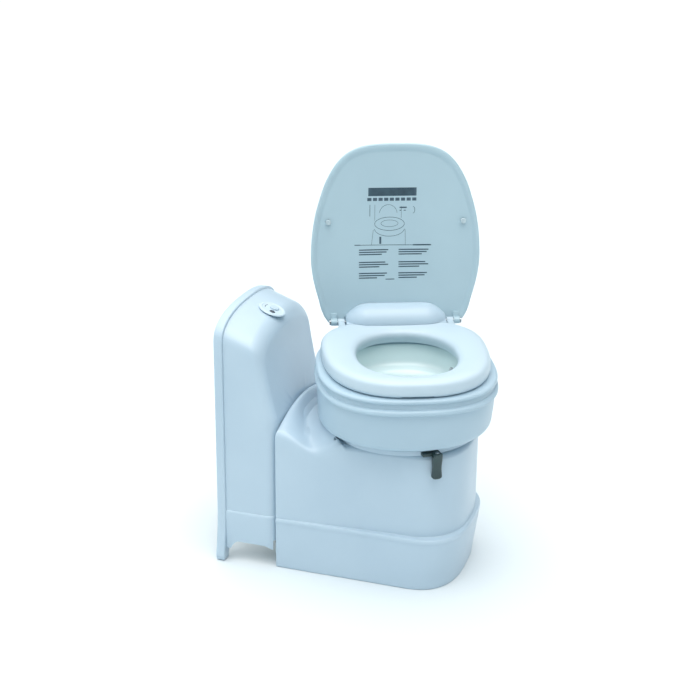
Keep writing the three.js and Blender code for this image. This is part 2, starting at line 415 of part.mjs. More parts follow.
// ---------------------------------------------------------------- waste cassette
{
  const outline = (d, y1) => { const r = 62 - d, x = 120 - d, y = -112 + d; const o = [[x, y1], [-x, y1]]; for (let k = 0; k <= 4; k++) { const a = Math.PI + (k / 4) * Math.PI / 2; o.push([-x + r + r * Math.cos(a), y + r + r * Math.sin(a)]); } for (let k = 0; k <= 4; k++) { const a = Math.PI * 1.5 + (k / 4) * Math.PI / 2; o.push([x - r + r * Math.cos(a), y + r + r * Math.sin(a)]); } return o; };
  const low = prism(outline(0, 235), 10, 203);
  const head = box(-120, 120, 234, 300, 52, 203);
  const lowIn = prism(outline(3, 232), 13, 200);
  const headIn = box(-117, 117, 231, 297, 55, 200);
  const inlet = disc(47, 190, 212, 28);
  const spoutHole = alongY(disc(24, 0, 20, 20), 62, 290, 120);
  const ventHole = disc(8.4, 190, 210, 14, -90, 262);
  add('cassette_tank', cut(join(low, head), join(lowIn, headIn), inlet, spoutHole, ventHole), mat('#d5d8d6', 0.45));
  add('lip_seal', turn([[47, 203.3], [60, 203.3], [60, 207], [52, 213], [46, 213.4], [47, 203.3]], 28), RUBBER());
  add('sliding_cover', join(prism([[68, 215], [-68, 215], [-68, 75], [68, 75]], 214, 217), box(-68, -62, 75, 215, 206, 215), box(62, 68, 75, 215, 206, 215)), GREY());
  add('valve_blade', join(prism([[54, 50], [-54, 50], [-54, -20], [-46, -40], [-28, -52], [0, -56], [28, -52], [46, -40], [54, -20]], 195.5, 198.5), box(-6, 6, 30, 48, 190, 196)), DARK());
  const guide = (s) => rib([[-60, 190], [165, 190], [165, 199.6], [-60, 199.6]], s > 0 ? 56 : -64, s > 0 ? 64 : -56);
  add('blade_guide_left', guide(-1), GREY());
  add('blade_guide_right', guide(1), GREY());
  // pour-out spout: collar on the rear face, tube lying across the cassette
  const collar = alongY(disc(32, 0, 40, 20), 62, 300.4, 120);
  const arm = alongX(disc(24, 0, 102, 20), -40, 331.5, 120);
  const bore = alongY(disc(23, 0, 34, 20), 62, 300, 120);
  const armBore = alongX(disc(20, 0, 110, 20), -50, 331.5, 120);
  add('pour_spout', cut(join(collar, arm), bore, armBore), mat('#cfd3d1', 0.45));
  add('spout_cap', alongX(turn([[0, 0], [29, 0], [29, 22], [24.6, 22], [24.6, 4], [0, 4]], 20), -45, 331.5, 120), DARK());
  add('vent_button', turn([[0, 197], [7.8, 197], [7.8, 208.5], [11, 208.5], [11, 212.5], [0, 212.5]], 16, -90, 262), mat('#2f4a6b', 0.4));
  // folding carry handle on top of the cassette, with two lugs standing on the tank
  const bail = (w, y0, y1, t) => [[w, y0], [w, y1], [-w, y1], [-w, y0], [-w + t, y0], [-w + t, y1 - t], [w - t, y1 - t], [w - t, y0]];
  add('carry_handle', join(prism(bail(60, 240, 297, 13), 205, 213), alongX(disc(5.5, 0, 13, 12), 47, 240, 209.2), alongX(disc(5.5, 0, 13, 12), -60, 240, 209.2)), DARK());
  // level float: a hollow box on an arm hinged to a bracket under the cassette top
  add('level_float', join(box(-112, -92, 120, 160, 60, 84), box(-104, -100, 138, 142, 80, 192), alongX(disc(5, 0, 10, 12), -107, 140, 190)), mat('#e2a53a', 0.5));
}

// retaining latch for the cassette, hinged on the rear edge of the tray
add('cassette_latch', join(box(52, 76, 243, 276, 4.6, 8.6), alongX(disc(3.4, 0, 24, 12), 52, 243.5, 6)), mat('#d98a1f', 0.4));

export default root;
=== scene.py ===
"""Looks for the cassette toilet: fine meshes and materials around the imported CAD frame.

Shapes are written in millimetres in the row frame (or in the bowl's own frame,
which is turned about +Z), and scaled to metres when the meshes are made.
"""
import json
import math

import bmesh
import bpy
import numpy as np
from mathutils import Matrix, Vector
from mathutils.geometry import tessellate_polygon


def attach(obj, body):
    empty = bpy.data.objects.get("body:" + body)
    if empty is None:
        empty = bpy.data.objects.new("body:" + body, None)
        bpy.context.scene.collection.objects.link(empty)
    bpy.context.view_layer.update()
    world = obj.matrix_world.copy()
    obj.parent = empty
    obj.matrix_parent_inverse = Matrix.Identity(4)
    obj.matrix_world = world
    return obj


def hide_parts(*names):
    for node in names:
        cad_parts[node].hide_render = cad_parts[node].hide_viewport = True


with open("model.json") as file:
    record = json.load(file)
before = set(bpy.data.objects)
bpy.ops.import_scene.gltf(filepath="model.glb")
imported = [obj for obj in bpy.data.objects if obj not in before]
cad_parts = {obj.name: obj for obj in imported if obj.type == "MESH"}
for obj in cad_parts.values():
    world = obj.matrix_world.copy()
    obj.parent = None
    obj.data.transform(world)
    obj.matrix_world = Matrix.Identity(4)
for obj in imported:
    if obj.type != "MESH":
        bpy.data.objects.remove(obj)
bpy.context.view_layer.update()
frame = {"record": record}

# ------------------------------------------------------------------ dimensions
WALL_Y, FRAME_T, SEAM_Y, HALF_W, FRAME_HALF_W = 375, 20, 239, 153, 157
ARCH_TOP, ARCH_RISE, TOWER_TOP, TOP_SLOPE, SKIN = 565, 60, 560, 0.36, 3.5
NOSE_C, LEDGE_Z, HOLE_R, DECK_Z, BOWL_TURN = -40, 119, 128.3, 308, -66.5
HINGE_Y, HINGE_Z, LID_LEAN, SEAT_Z0, SEAT_Z1 = 184, 484, 5, 456.5, 490
PANEL_AT = (-8, 300, TOWER_TOP - TOP_SLOPE * (355 - 300) + 0.9)
PANEL_TILT = math.degrees(math.atan(TOP_SLOPE))
LEVER_A = 50.7
SEG = 112          # segments of a fine turned part
RING = 176         # points round a fine oval


def T(x, y, z): return Matrix.Translation((x, y, z))
def RX(d): return Matrix.Rotation(math.radians(d), 4, "X")
def RY(d): return Matrix.Rotation(math.radians(d), 4, "Y")
def RZ(d): return Matrix.Rotation(math.radians(d), 4, "Z")


BOWL = RZ(BOWL_TURN)
LID = BOWL @ T(0, HINGE_Y, HINGE_Z) @ RX(-90 - LID_LEAN) @ T(0, -HINGE_Y, -HINGE_Z)
PANEL = T(*PANEL_AT) @ RX(PANEL_TILT)


def along_y(x, y, z): return T(x, y, z) @ RX(-90)
def along_x(x, y, z): return T(x, y, z) @ RY(90)


def clamp(v): return np.minimum(1.0, np.maximum(0.0, v))
def smooth(v): t = clamp(v); return t * t * (3 - 2 * t)
def spow(v, p): return np.sign(v) * np.abs(v) ** p


# ------------------------------------------------------------------ mesh helpers
def shade(ob, angle=34):
    ob.data.shade_smooth()
    ob.data.set_sharp_from_angle(angle=math.radians(angle))


def make(name, mesh, material=None, xf=None, angle=34):
    V, F = mesh
    v = np.asarray(V, float)
    if xf is not None:
        m = np.array(xf)
        v = v @ m[:3, :3].T + m[:3, 3]
    me = bpy.data.meshes.new(name)
    me.from_pydata((v * 0.001).tolist(), [], [list(map(int, f)) for f in F])
    bm = bmesh.new()
    bm.from_mesh(me)
    bmesh.ops.remove_doubles(bm, verts=bm.verts, dist=2e-6)
    bmesh.ops.recalc_face_normals(bm, faces=bm.faces)
    bm.to_mesh(me)
    bm.free()
    ob = bpy.data.objects.new(name, me)
    bpy.context.scene.collection.objects.link(ob)
    if material is not None:
        me.materials.append(material)
    shade(ob, angle)
    return ob


def applied(ob, angle=34):
    """Makes the object's modifiers part of its mesh."""
    dg = bpy.context.evaluated_depsgraph_get()
    me = bpy.data.meshes.new_from_object(ob.evaluated_get(dg))
    me.name = ob.name
    ob.modifiers.clear()
    ob.data = me
    shade(ob, angle)
    return ob


def combine(ob, tools, op, angle=34):
    for t in tools:
        m = ob.modifiers.new("b", "BOOLEAN")
        m.operation = op
        m.object = t
        m.solver = "MANIFOLD"
    applied(ob, angle)
    if len(ob.data.polygons) == 0:
        raise RuntimeError("an empty result for " + ob.name)
    for t in tools:
        bpy.data.objects.remove(t, do_unlink=True)
    bm = bmesh.new()
    bm.from_mesh(ob.data)
    bmesh.ops.remove_doubles(bm, verts=bm.verts, dist=2e-6)
    bmesh.ops.dissolve_degenerate(bm, edges=bm.edges, dist=1e-6)
    bm.to_mesh(ob.data)
    bm.free()
    shade(ob, angle)
    return ob


def cut(ob, *tools, angle=34): return combine(ob, tools, "DIFFERENCE", angle)
def join(ob, *tools, angle=34): return combine(ob, tools, "UNION", angle)


def bevel(ob, width, segments=3, limit=30, angle=34, flat=True):
    if flat:
        bm = bmesh.new()
        bm.from_mesh(ob.data)
        bmesh.ops.dissolve_limit(bm, angle_limit=math.radians(0.4), verts=bm.verts, edges=bm.edges)
        bm.to_mesh(ob.data)
        bm.free()
    m = ob.modifiers.new("bevel", "BEVEL")
    m.width = width * 0.001
    m.segments = segments
    m.limit_method = "ANGLE"
    m.angle_limit = math.radians(limit)
    m.use_clamp_overlap = True
    m.miter_outer = "MITER_ARC"
    return applied(ob, angle)


def loft(rings, torus=False):
    R = np.array(rings, float)
    m, n, _ = R.shape
    idx = np.arange(m * n).reshape(m, n)
    a = idx if torus else idx[:-1]
    b = np.roll(idx, -1, 0) if torus else idx[1:]
    F = np.stack([a, np.roll(a, -1, 1), np.roll(b, -1, 1), b], -1).reshape(-1, 4).tolist()
    if not torus:
        F += [idx[0][::-1].tolist(), idx[-1].tolist()]
    return R.reshape(-1, 3), F


def box(x0, x1, y0, y1, z0, z1):
    V = [(x, y, z) for z in (z0, z1) for y in (y0, y1) for x in (x0, x1)]
    return V, [(0, 2, 3, 1), (4, 5, 7, 6), (0, 1, 5, 4), (2, 6, 7, 3), (0, 4, 6, 2), (1, 3, 7, 5)]


def rounded(pts, r, closed=True, k=6, least=8.0):
    """A polyline with its corners rounded off."""
    P = [np.array(p, float) for p in pts]
    n, out = len(P), []
    for i in range(n):
        if not closed and i in (0, n - 1):
            out.append(P[i])
            continue
        a, b, c = P[i - 1], P[i], P[(i + 1) % n]
        u, v = a - b, c - b
        lu, lv = np.linalg.norm(u), np.linalg.norm(v)
        if lu < 1e-6 or lv < 1e-6:
            continue
        turn_deg = 180 - math.degrees(math.acos(max(-1, min(1, float(u @ v) / lu / lv))))
        if turn_deg < least:
            out.append(b)
            continue
        d = min(r, 0.46 * lu, 0.46 * lv)
        s, e = b + u / lu * d, b + v / lv * d
        out += [(1 - t) ** 2 * s + 2 * t * (1 - t) * b + t * t * e for t in np.linspace(0, 1, k + 1)]
    return [tuple(p) for p in out]


def turn(pts, r=0.6, seg=None, wave=None):
    """Solid of revolution about +Z from [radius, height] points, corners rounded by r."""
    seg = seg or SEG
    closed = abs(pts[0][0] - pts[-1][0]) < 1e-9 and abs(pts[0][1] - pts[-1][1]) < 1e-9
    p = rounded(pts[:-1] if closed else pts, r, closed)
    a = np.linspace(0, 2 * math.pi, seg, endpoint=False)
    rings = []
    for q in p:
        rr = np.full(seg, q[0]) if wave is None else q[0] + wave(a, q[0], q[1])
        rings.append(np.stack([rr * np.cos(a), rr * np.sin(a), np.full(seg, q[1])], 1))
    R = np.array(rings)
    m = len(p)
    idx = np.arange(m * seg).reshape(m, seg)
    A = idx if closed else idx[:-1]
    B = np.roll(idx, -1, 0) if closed else idx[1:]
    F = np.stack([A, np.roll(A, -1, 1), np.roll(B, -1, 1), B], -1).reshape(-1, 4).tolist()
    if not closed and p[0][0] > 1e-6:
        F.append(idx[0][::-1].tolist())
    if not closed and p[-1][0] > 1e-6:
        F.append(idx[-1].tolist())
    return R.reshape(-1, 3), F


def disc(r, z0, z1, seg=64): return turn([[0, z0], [r, z0], [r, z1], [0, z1]], 0, seg)
def tube(r0, r1, z0, z1, rnd=0.6): return turn([[r0, z0], [r1, z0], [r1, z1], [r0, z1], [r0, z0]], rnd)


def ext(pts, d0, d1, axis="z", holes=()):
    """Prism of an outline: XY for axis z, XZ for axis y, YZ for axis x."""
    loops = [list(pts)] + [list(h) for h in holes]
    flat = [p for l in loops for p in l]
    n = len(flat)
    tri = tessellate_polygon([[Vector((p[0], p[1], 0)) for p in l] for l in loops])
    V = [(p[0], p[1], d0) for p in flat] + [(p[0], p[1], d1) for p in flat]
    F = [tuple(t)[::-1] for t in tri] + [tuple(i + n for i in t) for t in tri]
    s = 0
    for l in loops:
        k = len(l)
        F += [(s + i, s + (i + 1) % k, s + (i + 1) % k + n, s + i + n) for i in range(k)]
        s += k
    if axis == "y":
        V = [(a, d, b) for a, b, d in V]
    elif axis == "x":
        V = [(d, a, b) for a, b, d in V]
    return V, F


def rows(table, step=3.0, corner=40.0, rnd=1.3, closed=True):
    """Ring table made fine: a curve through the rows with its corners rounded.
    Columns are half width, front, rear, exponent, centre, height."""
    P = np.array(table, float)
    n = len(P)
    K = np.stack([(P[:, 0] + P[:, 1] - P[:, 4] + P[:, 2] + P[:, 4]) / 3, P[:, -1]], 1)
    seg = [(i, (i + 1) % n) for i in range(n if closed else n - 1)]

    def is_corner(i):
        if not closed and i in (0, n - 1):
            return True
        u, v = K[i] - K[i - 1], K[(i + 1) % n] - K[i]
        c = float(u @ v) / (np.linalg.norm(u) * np.linalg.norm(v) + 1e-9)
        return math.degrees(math.acos(max(-1, min(1, c)))) > corner
    C = [is_corner(i) for i in range(n)]
    dense, mark = [], []
    for i, j in seg:
        p1, p2 = P[i], P[j]
        p0 = 2 * p1 - p2 if C[i] else P[i - 1]
        p3 = 2 * p2 - p1 if C[j] else P[(j + 1) % n]
        d01 = max(1e-3, np.linalg.norm((p1 - p0)[[0, -1]])) ** 0.5
        d12 = max(1e-3, np.linalg.norm((p2 - p1)[[0, -1]])) ** 0.5
        d23 = max(1e-3, np.linalg.norm((p3 - p2)[[0, -1]])) ** 0.5
        m1 = (p1 - p0) / d01 - (p2 - p0) / (d01 + d12) + (p2 - p1) / d12
        m2 = (p2 - p1) / d12 - (p3 - p1) / (d12 + d23) + (p3 - p2) / d23
        m1, m2 = m1 * d12, m2 * d12
        k = max(2, int(math.ceil(np.linalg.norm(K[j] - K[i]) / step)))
        for q in range(k):
            t = q / k
            dense.append((2 * t ** 3 - 3 * t * t + 1) * p1 + (t ** 3 - 2 * t * t + t) * m1 + (3 * t * t - 2 * t ** 3) * p2 + (t ** 3 - t * t) * m2)
            mark.append(q == 0 and C[i])
    if not closed:
        dense.append(P[-1])
        mark.append(False)
    out, N = [], len(dense)
    for i, p in enumerate(dense):
        if not mark[i] or (not closed and i == 0):
            out.append(p)
            continue
        a, c = dense[i - 1], dense[(i + 1) % N]
        la = max(1e-6, np.linalg.norm((a - p)[[0, -1]]))
        lc = max(1e-6, np.linalg.norm((c - p)[[0, -1]]))
        s, e = p + (a - p) * min(0.48, rnd / la), p + (c - p) * min(0.48, rnd / lc)
        out += [(1 - t) ** 2 * s + 2 * t * (1 - t) * p + t * t * e for t in (0, 0.2, 0.4, 0.6, 0.8, 1)]
    return out


def oval(a, front, rear, n, c=0.0, count=None, n_rear=None):
    count = count or RING
    t = np.linspace(0, 2 * math.pi, count, endpoint=False)
    s, co = np.sin(t), np.cos(t)
    m = np.where(s < 0, n, n if n_rear is None else n_rear)
    x = a * np.sign(co) * np.abs(co) ** (2 / m)
    y = c + np.where(s < 0, front, rear) * np.sign(s) * np.abs(s) ** (2 / m)
    return np.stack([x, y], 1)


def lift(pts, z):
    p = np.asarray(pts, float)
    return np.concatenate([p, np.full((len(p), 1), float(z))], 1)


def oval_loft(table, **kw):
    """Closed loft of ovals from rows of [a, front, rear, n, z] or [a, front, rear, n, c, z]."""
    t = [r if len(r) == 6 else [r[0], r[1], r[2], r[3], 0.0, r[4]] for r in table]
    return loft([lift(oval(r[0], r[1], r[2], r[3], r[4]), r[5]) for r in rows(t, **kw)], True)


# ------------------------------------------------------------------ materials
def hexcol(h):
    c = [int(h[i:i + 2], 16) / 255 for i in (1, 3, 5)]
    return [v / 12.92 if v <= 0.04045 else ((v + 0.055) / 1.055) ** 2.4 for v in c]


def material(name, colour, shade_to, rough, spread=0.05, metal=0.0, coat=0.0, coat_rough=0.08, ior=1.5,
             bump=0.02, grain=900.0, wave=0.0, wave_scale=9.0, wear=None, wear_at=0.56, hollow_tint=None, vary=5.0, streak=False, sub=0.0):
    """Procedural surface: colour that varies slowly, roughness that varies finely, a fine
    moulded or brushed grain, paler or darker wear on edges and a darker colour in hollows."""
    m = bpy.data.materials.new(name)
    m.use_nodes = True
    nt = m.node_tree
    for n in list(nt.nodes):
        nt.nodes.remove(n)
    N, L = nt.nodes.new, nt.links.new
    out, bs, tc = N("ShaderNodeOutputMaterial"), N("ShaderNodeBsdfPrincipled"), N("ShaderNodeTexCoord")
    L(bs.outputs[0], out.inputs[0])
    bs.inputs["Metallic"].default_value = metal
    bs.inputs["IOR"].default_value = ior
    bs.inputs["Coat Weight"].default_value = coat
    bs.inputs["Coat Roughness"].default_value = coat_rough
    if sub:
        bs.inputs["Subsurface Weight"].default_value = sub
        bs.inputs["Subsurface Radius"].default_value = (0.006, 0.007, 0.008)
        bs.inputs["Subsurface Scale"].default_value = 1.0
    mp = N("ShaderNodeMapping")
    L(tc.outputs["Object"], mp.inputs[0])
    mp.inputs["Scale"].default_value = (1, 1, 14) if streak else (1, 1, 1)
    broad = N("ShaderNodeTexNoise")
    broad.inputs["Scale"].default_value = vary
    broad.inputs["Detail"].default_value = 4
    L(mp.outputs[0], broad.inputs["Vector"])
    r1 = N("ShaderNodeValToRGB")
    r1.color_ramp.elements[0].position, r1.color_ramp.elements[1].position = 0.32, 0.68
    r1.color_ramp.elements[0].color = (*hexcol(shade_to), 1)
    r1.color_ramp.elements[1].color = (*hexcol(colour), 1)
    L(broad.outputs["Fac"], r1.inputs[0])
    col = r1.outputs[0]
    geo = N("ShaderNodeNewGeometry")
    fine = N("ShaderNodeTexNoise")
    fine.inputs["Scale"].default_value = 60
    fine.inputs["Detail"].default_value = 5
    L(mp.outputs[0], fine.inputs["Vector"])

    def masked(col, at, width, to, flip, strength):
        ramp = N("ShaderNodeMapRange")
        ramp.inputs["From Min"].default_value = at
        ramp.inputs["From Max"].default_value = at + (-width if flip else width)
        L(geo.outputs["Pointiness"], ramp.inputs["Value"])
        mul = N("ShaderNodeMath")
        mul.operation = "MULTIPLY"
        L(ramp.outputs[0], mul.inputs[0])
        sp = N("ShaderNodeMapRange")
        sp.inputs["From Min"].default_value, sp.inputs["From Max"].default_value = 0.38, 0.62
        sp.inputs["To Min"].default_value, sp.inputs["To Max"].default_value = strength * 0.3, strength
        L(fine.outputs["Fac"], sp.inputs["Value"])
        L(sp.outputs[0], mul.inputs[1])
        mix = N("ShaderNodeMix")
        mix.data_type = "RGBA"
        L(mul.outputs[0], mix.inputs[0])
        L(col, mix.inputs[6])
        mix.inputs[7].default_value = (*hexcol(to), 1)
        return mix.outputs[2]
    if wear:
        col = masked(col, wear_at, 0.06, wear, False, 0.55)
    # Darker colour in hollows, where pointiness is low, broken up by fine noise.
    if hollow_tint:
        col = masked(col, 0.47, 0.06, hollow_tint, True, 0.45)
    L(col, bs.inputs["Base Color"])
    rr = N("ShaderNodeMapRange")
    rr.inputs["From Min"].default_value, rr.inputs["From Max"].default_value = 0.3, 0.7
    rr.inputs["To Min"].default_value, rr.inputs["To Max"].default_value = max(0.02, rough - spread), rough + spread
    L(fine.outputs["Fac"], rr.inputs["Value"])
    L(rr.outputs[0], bs.inputs["Roughness"])
    gr = N("ShaderNodeTexNoise")
    gr.inputs["Scale"].default_value = grain
    gr.inputs["Detail"].default_value = 2
    L(mp.outputs[0], gr.inputs["Vector"])
    bp = N("ShaderNodeBump")
    bp.inputs["Strength"].default_value = bump
    bp.inputs["Distance"].default_value = 0.0006
    L(gr.outputs["Fac"], bp.inputs["Height"])
    last = bp
    if wave:
        wv = N("ShaderNodeTexNoise")
        wv.inputs["Scale"].default_value = wave_scale
        wv.inputs["Detail"].default_value = 1
        L(tc.outputs["Object"], wv.inputs["Vector"])
        b2 = N("ShaderNodeBump")
        b2.inputs["Strength"].default_value = wave
        b2.inputs["Distance"].default_value = 0.004
        L(wv.outputs["Fac"], b2.inputs["Height"])
        L(bp.outputs[0], b2.inputs["Normal"])
        last = b2
    L(last.outputs[0], bs.inputs["Normal"])
    return m


WHITE = material("white_shell", "#b9cddb", "#b3c8d7", 0.32, 0.03, coat=0.1, coat_rough=0.2, bump=0.004, grain=160, wave=0.02, wear="#c6d8e3", wear_at=0.57, hollow_tint="#a9c0ce")
SEATM = material("white_seat", "#bfd1dd", "#bbced9", 0.34, 0.012, coat=0.0, bump=0.0015, grain=120, wear="#c3d4df", wear_at=0.6, hollow_tint="#bccdd9")
# Darker copy of the white shell for the lid: painted shade, for the lid's shaded inner face.
LID_SHADED = material("white_lid_shaded", "#b1c9d3", "#abc3ce", 0.34, 0.03, coat=0.08, coat_rough=0.22, bump=0.004, grain=160, wave=0.015, wear="#bed2db", wear_at=0.57, hollow_tint="#a2bbc6")
INNER = material("bowl_inner", "#d6e8ea", "#cde1e3", 0.14, 0.04, coat=0.4, bump=0.005, grain=200, wave=0.02, wear="#e2eeee", wear_at=0.57, hollow_tint="#b9ccce")
PANELM = material("panel", "#c2d4df", "#bdd0dc", 0.34, 0.03, coat=0.1, coat_rough=0.2, bump=0.006, grain=200, wear="#d0dfe7", hollow_tint="#a9bcc8")
LENS = material("dark_lens", "#1d2c44", "#141f33", 0.06, 0.02, coat=0.6, bump=0.01, grain=300, wear="#46587a", wear_at=0.62)
STEEL = material("steel", "#b9bec2", "#a3a9ae", 0.28, 0.08, metal=1.0, bump=0.08, grain=420, wear="#e2e5e7", hollow_tint="#6b7074", vary=30, streak=True)
GREY = material("grey_plastic", "#a3adb2", "#97a2a8", 0.46, 0.08, bump=0.16, grain=1300, wear="#c3cbcf", hollow_tint="#6f797f", vary=9)
# Darker copy of the white shell for the shroud and rim: painted shade, as they curve in and face downwards.
BOWL_SHADED = material("white_bowl_shaded", "#aec5d3", "#a9c1d0", 0.34, 0.012, coat=0.0, bump=0.0015, grain=120, wear="#b9cdd9", wear_at=0.6, hollow_tint="#a5bdcb")
DARK = material("dark_plastic", "#34494b", "#2a3d40", 0.4, 0.08, bump=0.14, grain=1400, wear="#51656a", hollow_tint="#121b1c", vary=12)
TANK = material("tank_plastic", "#dcdfdb", "#d1d6d1", 0.42, 0.07, bump=0.12, grain=700, wave=0.08, wave_scale=16, wear="#e6e9e6", hollow_tint="#ccd1cc", sub=0.08)
HOSE = material("hose", "#c7d4d8", "#b7c7cc", 0.24, 0.05, coat=0.3, bump=0.05, grain=500, wear="#dfe8ea", hollow_tint="#8f9fa4", vary=20)
RUBBER = material("rubber", "#2b2e30", "#222527", 0.72, 0.1, bump=0.25, grain=1500, wear="#474c4f", hollow_tint="#15181a", vary=20)
PALE = material("pale_rubber", "#b9c9cf", "#adbfc6", 0.6, 0.08, bump=0.15, grain=1300, wear="#cfdbdf", wear_at=0.62, hollow_tint="#8fa1a9", vary=20)
AMBER = material("amber_plastic", "#d8932a", "#c98220", 0.38, 0.07, bump=0.1, grain=1000, wear="#edb765", hollow_tint="#8a5a17", vary=20)
BLUE = material("blue_plastic", "#34567e", "#2b4a6f", 0.36, 0.07, bump=0.1, grain=1000, wear="#5d7fa8", hollow_tint="#1b2f4a", vary=20)
INK = material("label_ink", "#2c4250", "#36505e", 0.5, 0.08, bump=0.06, grain=1200, wear="#66798a", wear_at=0.62, vary=60)

SLOT = {"white_shell": WHITE, "panel": PANELM, "bowl_inner": INNER, "dark_lens": LENS, "steel": STEEL, "grey_plastic": GREY,
        "dark_plastic": DARK, "tank_plastic": TANK, "hose": HOSE, "rubber": RUBBER, "pale_rubber": PALE, "amber_plastic": AMBER, "blue_plastic": BLUE}
slot_of = {s["node"]: s["material_slot"] for s in frame["record"]["subparts"]}
body_of = {n: b for b, ns in frame["record"]["behaviour"]["bodies"].items() for n in ns}


def done(ob, node, own=None):
    """The piece stands for one CAD node, on that node's body."""
    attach(ob, body_of[node])
    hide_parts(node)
    ob.data.materials.clear()
    ob.data.materials.append(own or SLOT[slot_of[node]])
    return ob


# ------------------------------------------------------------------ rear frame
def arch(w, zs, rise, n, seg):
    a = np.linspace(math.pi, 0, seg + 1)
    return list(zip(w * spow(np.cos(a), 2 / n), zs + rise * spow(np.sin(a), 2 / n)))


w = FRAME_HALF_W
side = [[-w - 10, 0], [-w - 14, 10], [-w - 7, 48], [-w - 2, 84], [-w, 116]]
low = [[-123, 250], [-131, 232], [-131, 36], [-w + 20, 22], [-w + 12, 0]]
mirror = lambda p: [[-a, b] for a, b in reversed(p)]
outline = rounded(side, 14, False, 8, 2) + arch(w, ARCH_TOP - ARCH_RISE, ARCH_RISE, 2.5, 96) + rounded(mirror(side), 14, False, 8, 2) + rounded(mirror(low), 9, False, 6) + rounded(low, 9, False, 6)
o = make("rear_frame_fine", ext(outline, WALL_Y - FRAME_T, WALL_Y, "y"))
o = bevel(o, 3.0, 4, 50)
tools = [make("t", ext(rounded(arch(116, 462, 44, 3, 48) + [[116, 282], [-116, 282]], 10), 340, 390, "y"))]
SCREWS = [(-143, 300), (143, 300), (-143, 450), (143, 450)]
for x, z in SCREWS:
    tools.append(make("t", turn([[0, 0], [4.3, 0], [4.3, 26], [7.4, 26], [8.2, 31], [8.2, 40], [0, 40]], 0.1, 48), xf=along_y(x, 345, z)))
done(cut(o, *tools), "rear_frame")
for i, (x, z) in enumerate(SCREWS):
    def thread(a, r, h): return np.where((r > 3) & (r < 4) & (h > 1), 0.28 * np.sin(a + 2 * math.pi * h / 1.6) - 0.2, 0)
    body = [[0, 0], [2.2, 0.2]] + [[3.75, h] for h in np.arange(1.2, 27, 0.4)] + [[3.8, 31.3], [6.9, 31.3], [6.9, 33.0], [5.6, 34.3], [0, 34.3]]
    s = make("frame_screw_fine_%d" % (i + 1), turn(body, 0.25, 48, thread), xf=along_y(x, 340.2, z))
    s = cut(s, make("t", box(-4.2, 4.2, -0.7, 0.7, 32.9, 36), xf=along_y(x, 340.2, z)), make("t", box(-0.7, 0.7, -4.2, 4.2, 32.9, 36), xf=along_y(x, 340.2, z)), angle=40)
    done(s, "frame_screw_%d" % (i + 1))


# ------------------------------------------------------------------ tower casing
def tower_front(z):
    z = np.asarray(z, float)
    return SEAM_Y + 0.4 + 37 * (np.maximum(z - 345, 0) / 187) ** 0.75


def tower_ring(inset, y, offset, shrink=1.0):
    hw = HALF_W - inset
    guess = y if offset is None else 274 + offset
    top = TOWER_TOP - TOP_SLOPE * (355 - guess) - inset
    zs, zb = top - 58 + inset * 0.4, 28
    foot = [(zb, 3.0), (60, 3.0), (100, 3.0), (111, 3.0), (113.6, 2.9), (115.6, 2.55), (117.2, 1.9), (118.4, 1.1), (119.0, 0.35), (119.3, 0.0), (121, 0.0)]
    up = foot + [(z, 0.0) for z in np.concatenate([np.linspace(135, 335, 10, endpoint=False), np.linspace(335, 420, 16, endpoint=False), np.linspace(420, zs, 8, endpoint=False)])]
    pts = [(-hw - d, z) for z, d in up] + arch(hw, zs, top - zs, 2.4, 84) + [(hw + d, z) for z, d in up[::-1]] + [(hw * q, zb) for q in np.linspace(1, -1, 22)[1:-1]]
    p = np.array(pts)
    x, z = p[:, 0] * shrink, 300 + (p[:, 1] - 300) * shrink
    yy = np.full(len(p), float(y)) if offset is None else tower_front(z) + offset
    return np.stack([x, yy, z], 1)


def tower_solid(inset, back, dy, steps):
    R = 24
    a, b = tower_ring(inset, back, None), tower_ring(inset, 0, R + dy)
    rings = [a + (b - a) * t for t in np.linspace(0, 1, 8)]
    for ang in np.linspace(0, 90, steps + 1)[1:]:
        t = math.radians(ang)
        rings.append(tower_ring(inset + R * (1 - math.cos(t)), 0, dy + R * (1 - math.sin(t))))
    rings += [tower_ring(inset + R, 0, dy, s) for s in (0.97, 0.9, 0.8, 0.68, 0.54, 0.4, 0.26, 0.12, 0.03)]
    return loft(rings)


tower = make("tower_shell_fine", tower_solid(0, WALL_Y - FRAME_T - 0.3, 0, 14))
notch = rounded([[246, 10], [246, 37], [262, 47], [330, 47], [338, 40], [345, 30], [345, 10]], 5)
tower = cut(tower, make("t", tower_solid(SKIN, WALL_Y - FRAME_T + 6, SKIN, 6)), make("t", ext(notch, -170, 170, "x")),
            make("t", box(-HALF_W + SKIN, HALF_W - SKIN, SEAM_Y + 4, 360, 20, 60)), make("t", box(-130, 130, 230, 262, 10, 254)),
            make("t", disc(10.8, -9, 4, 64), xf=PANEL @ T(6, -2, 0)))
done(tower, "tower_shell")

# ------------------------------------------------------------------ base casing
PR, PS, PN = 20, 26, 100


def plan(w0, w1, yn, n, yr):
    rear = [(w0 * (1 - 2 * i / PR), yr) for i in range(PR + 1)]
    t = np.arange(1, PS + 1) / (PS + 1)
    sx, sy = w0 + (w1 - w0) * smooth(t), yr + (NOSE_C - yr) * t
    a = np.linspace(0, math.pi, PN + 1)
    nose = list(zip(-w1 * spow(np.cos(a), 2 / n), NOSE_C + (yn - NOSE_C) * spow(np.sin(a), 2 / n)))
    return np.array(rear + list(zip(-sx, sy)) + nose + list(zip(sx, sy))[::-1])


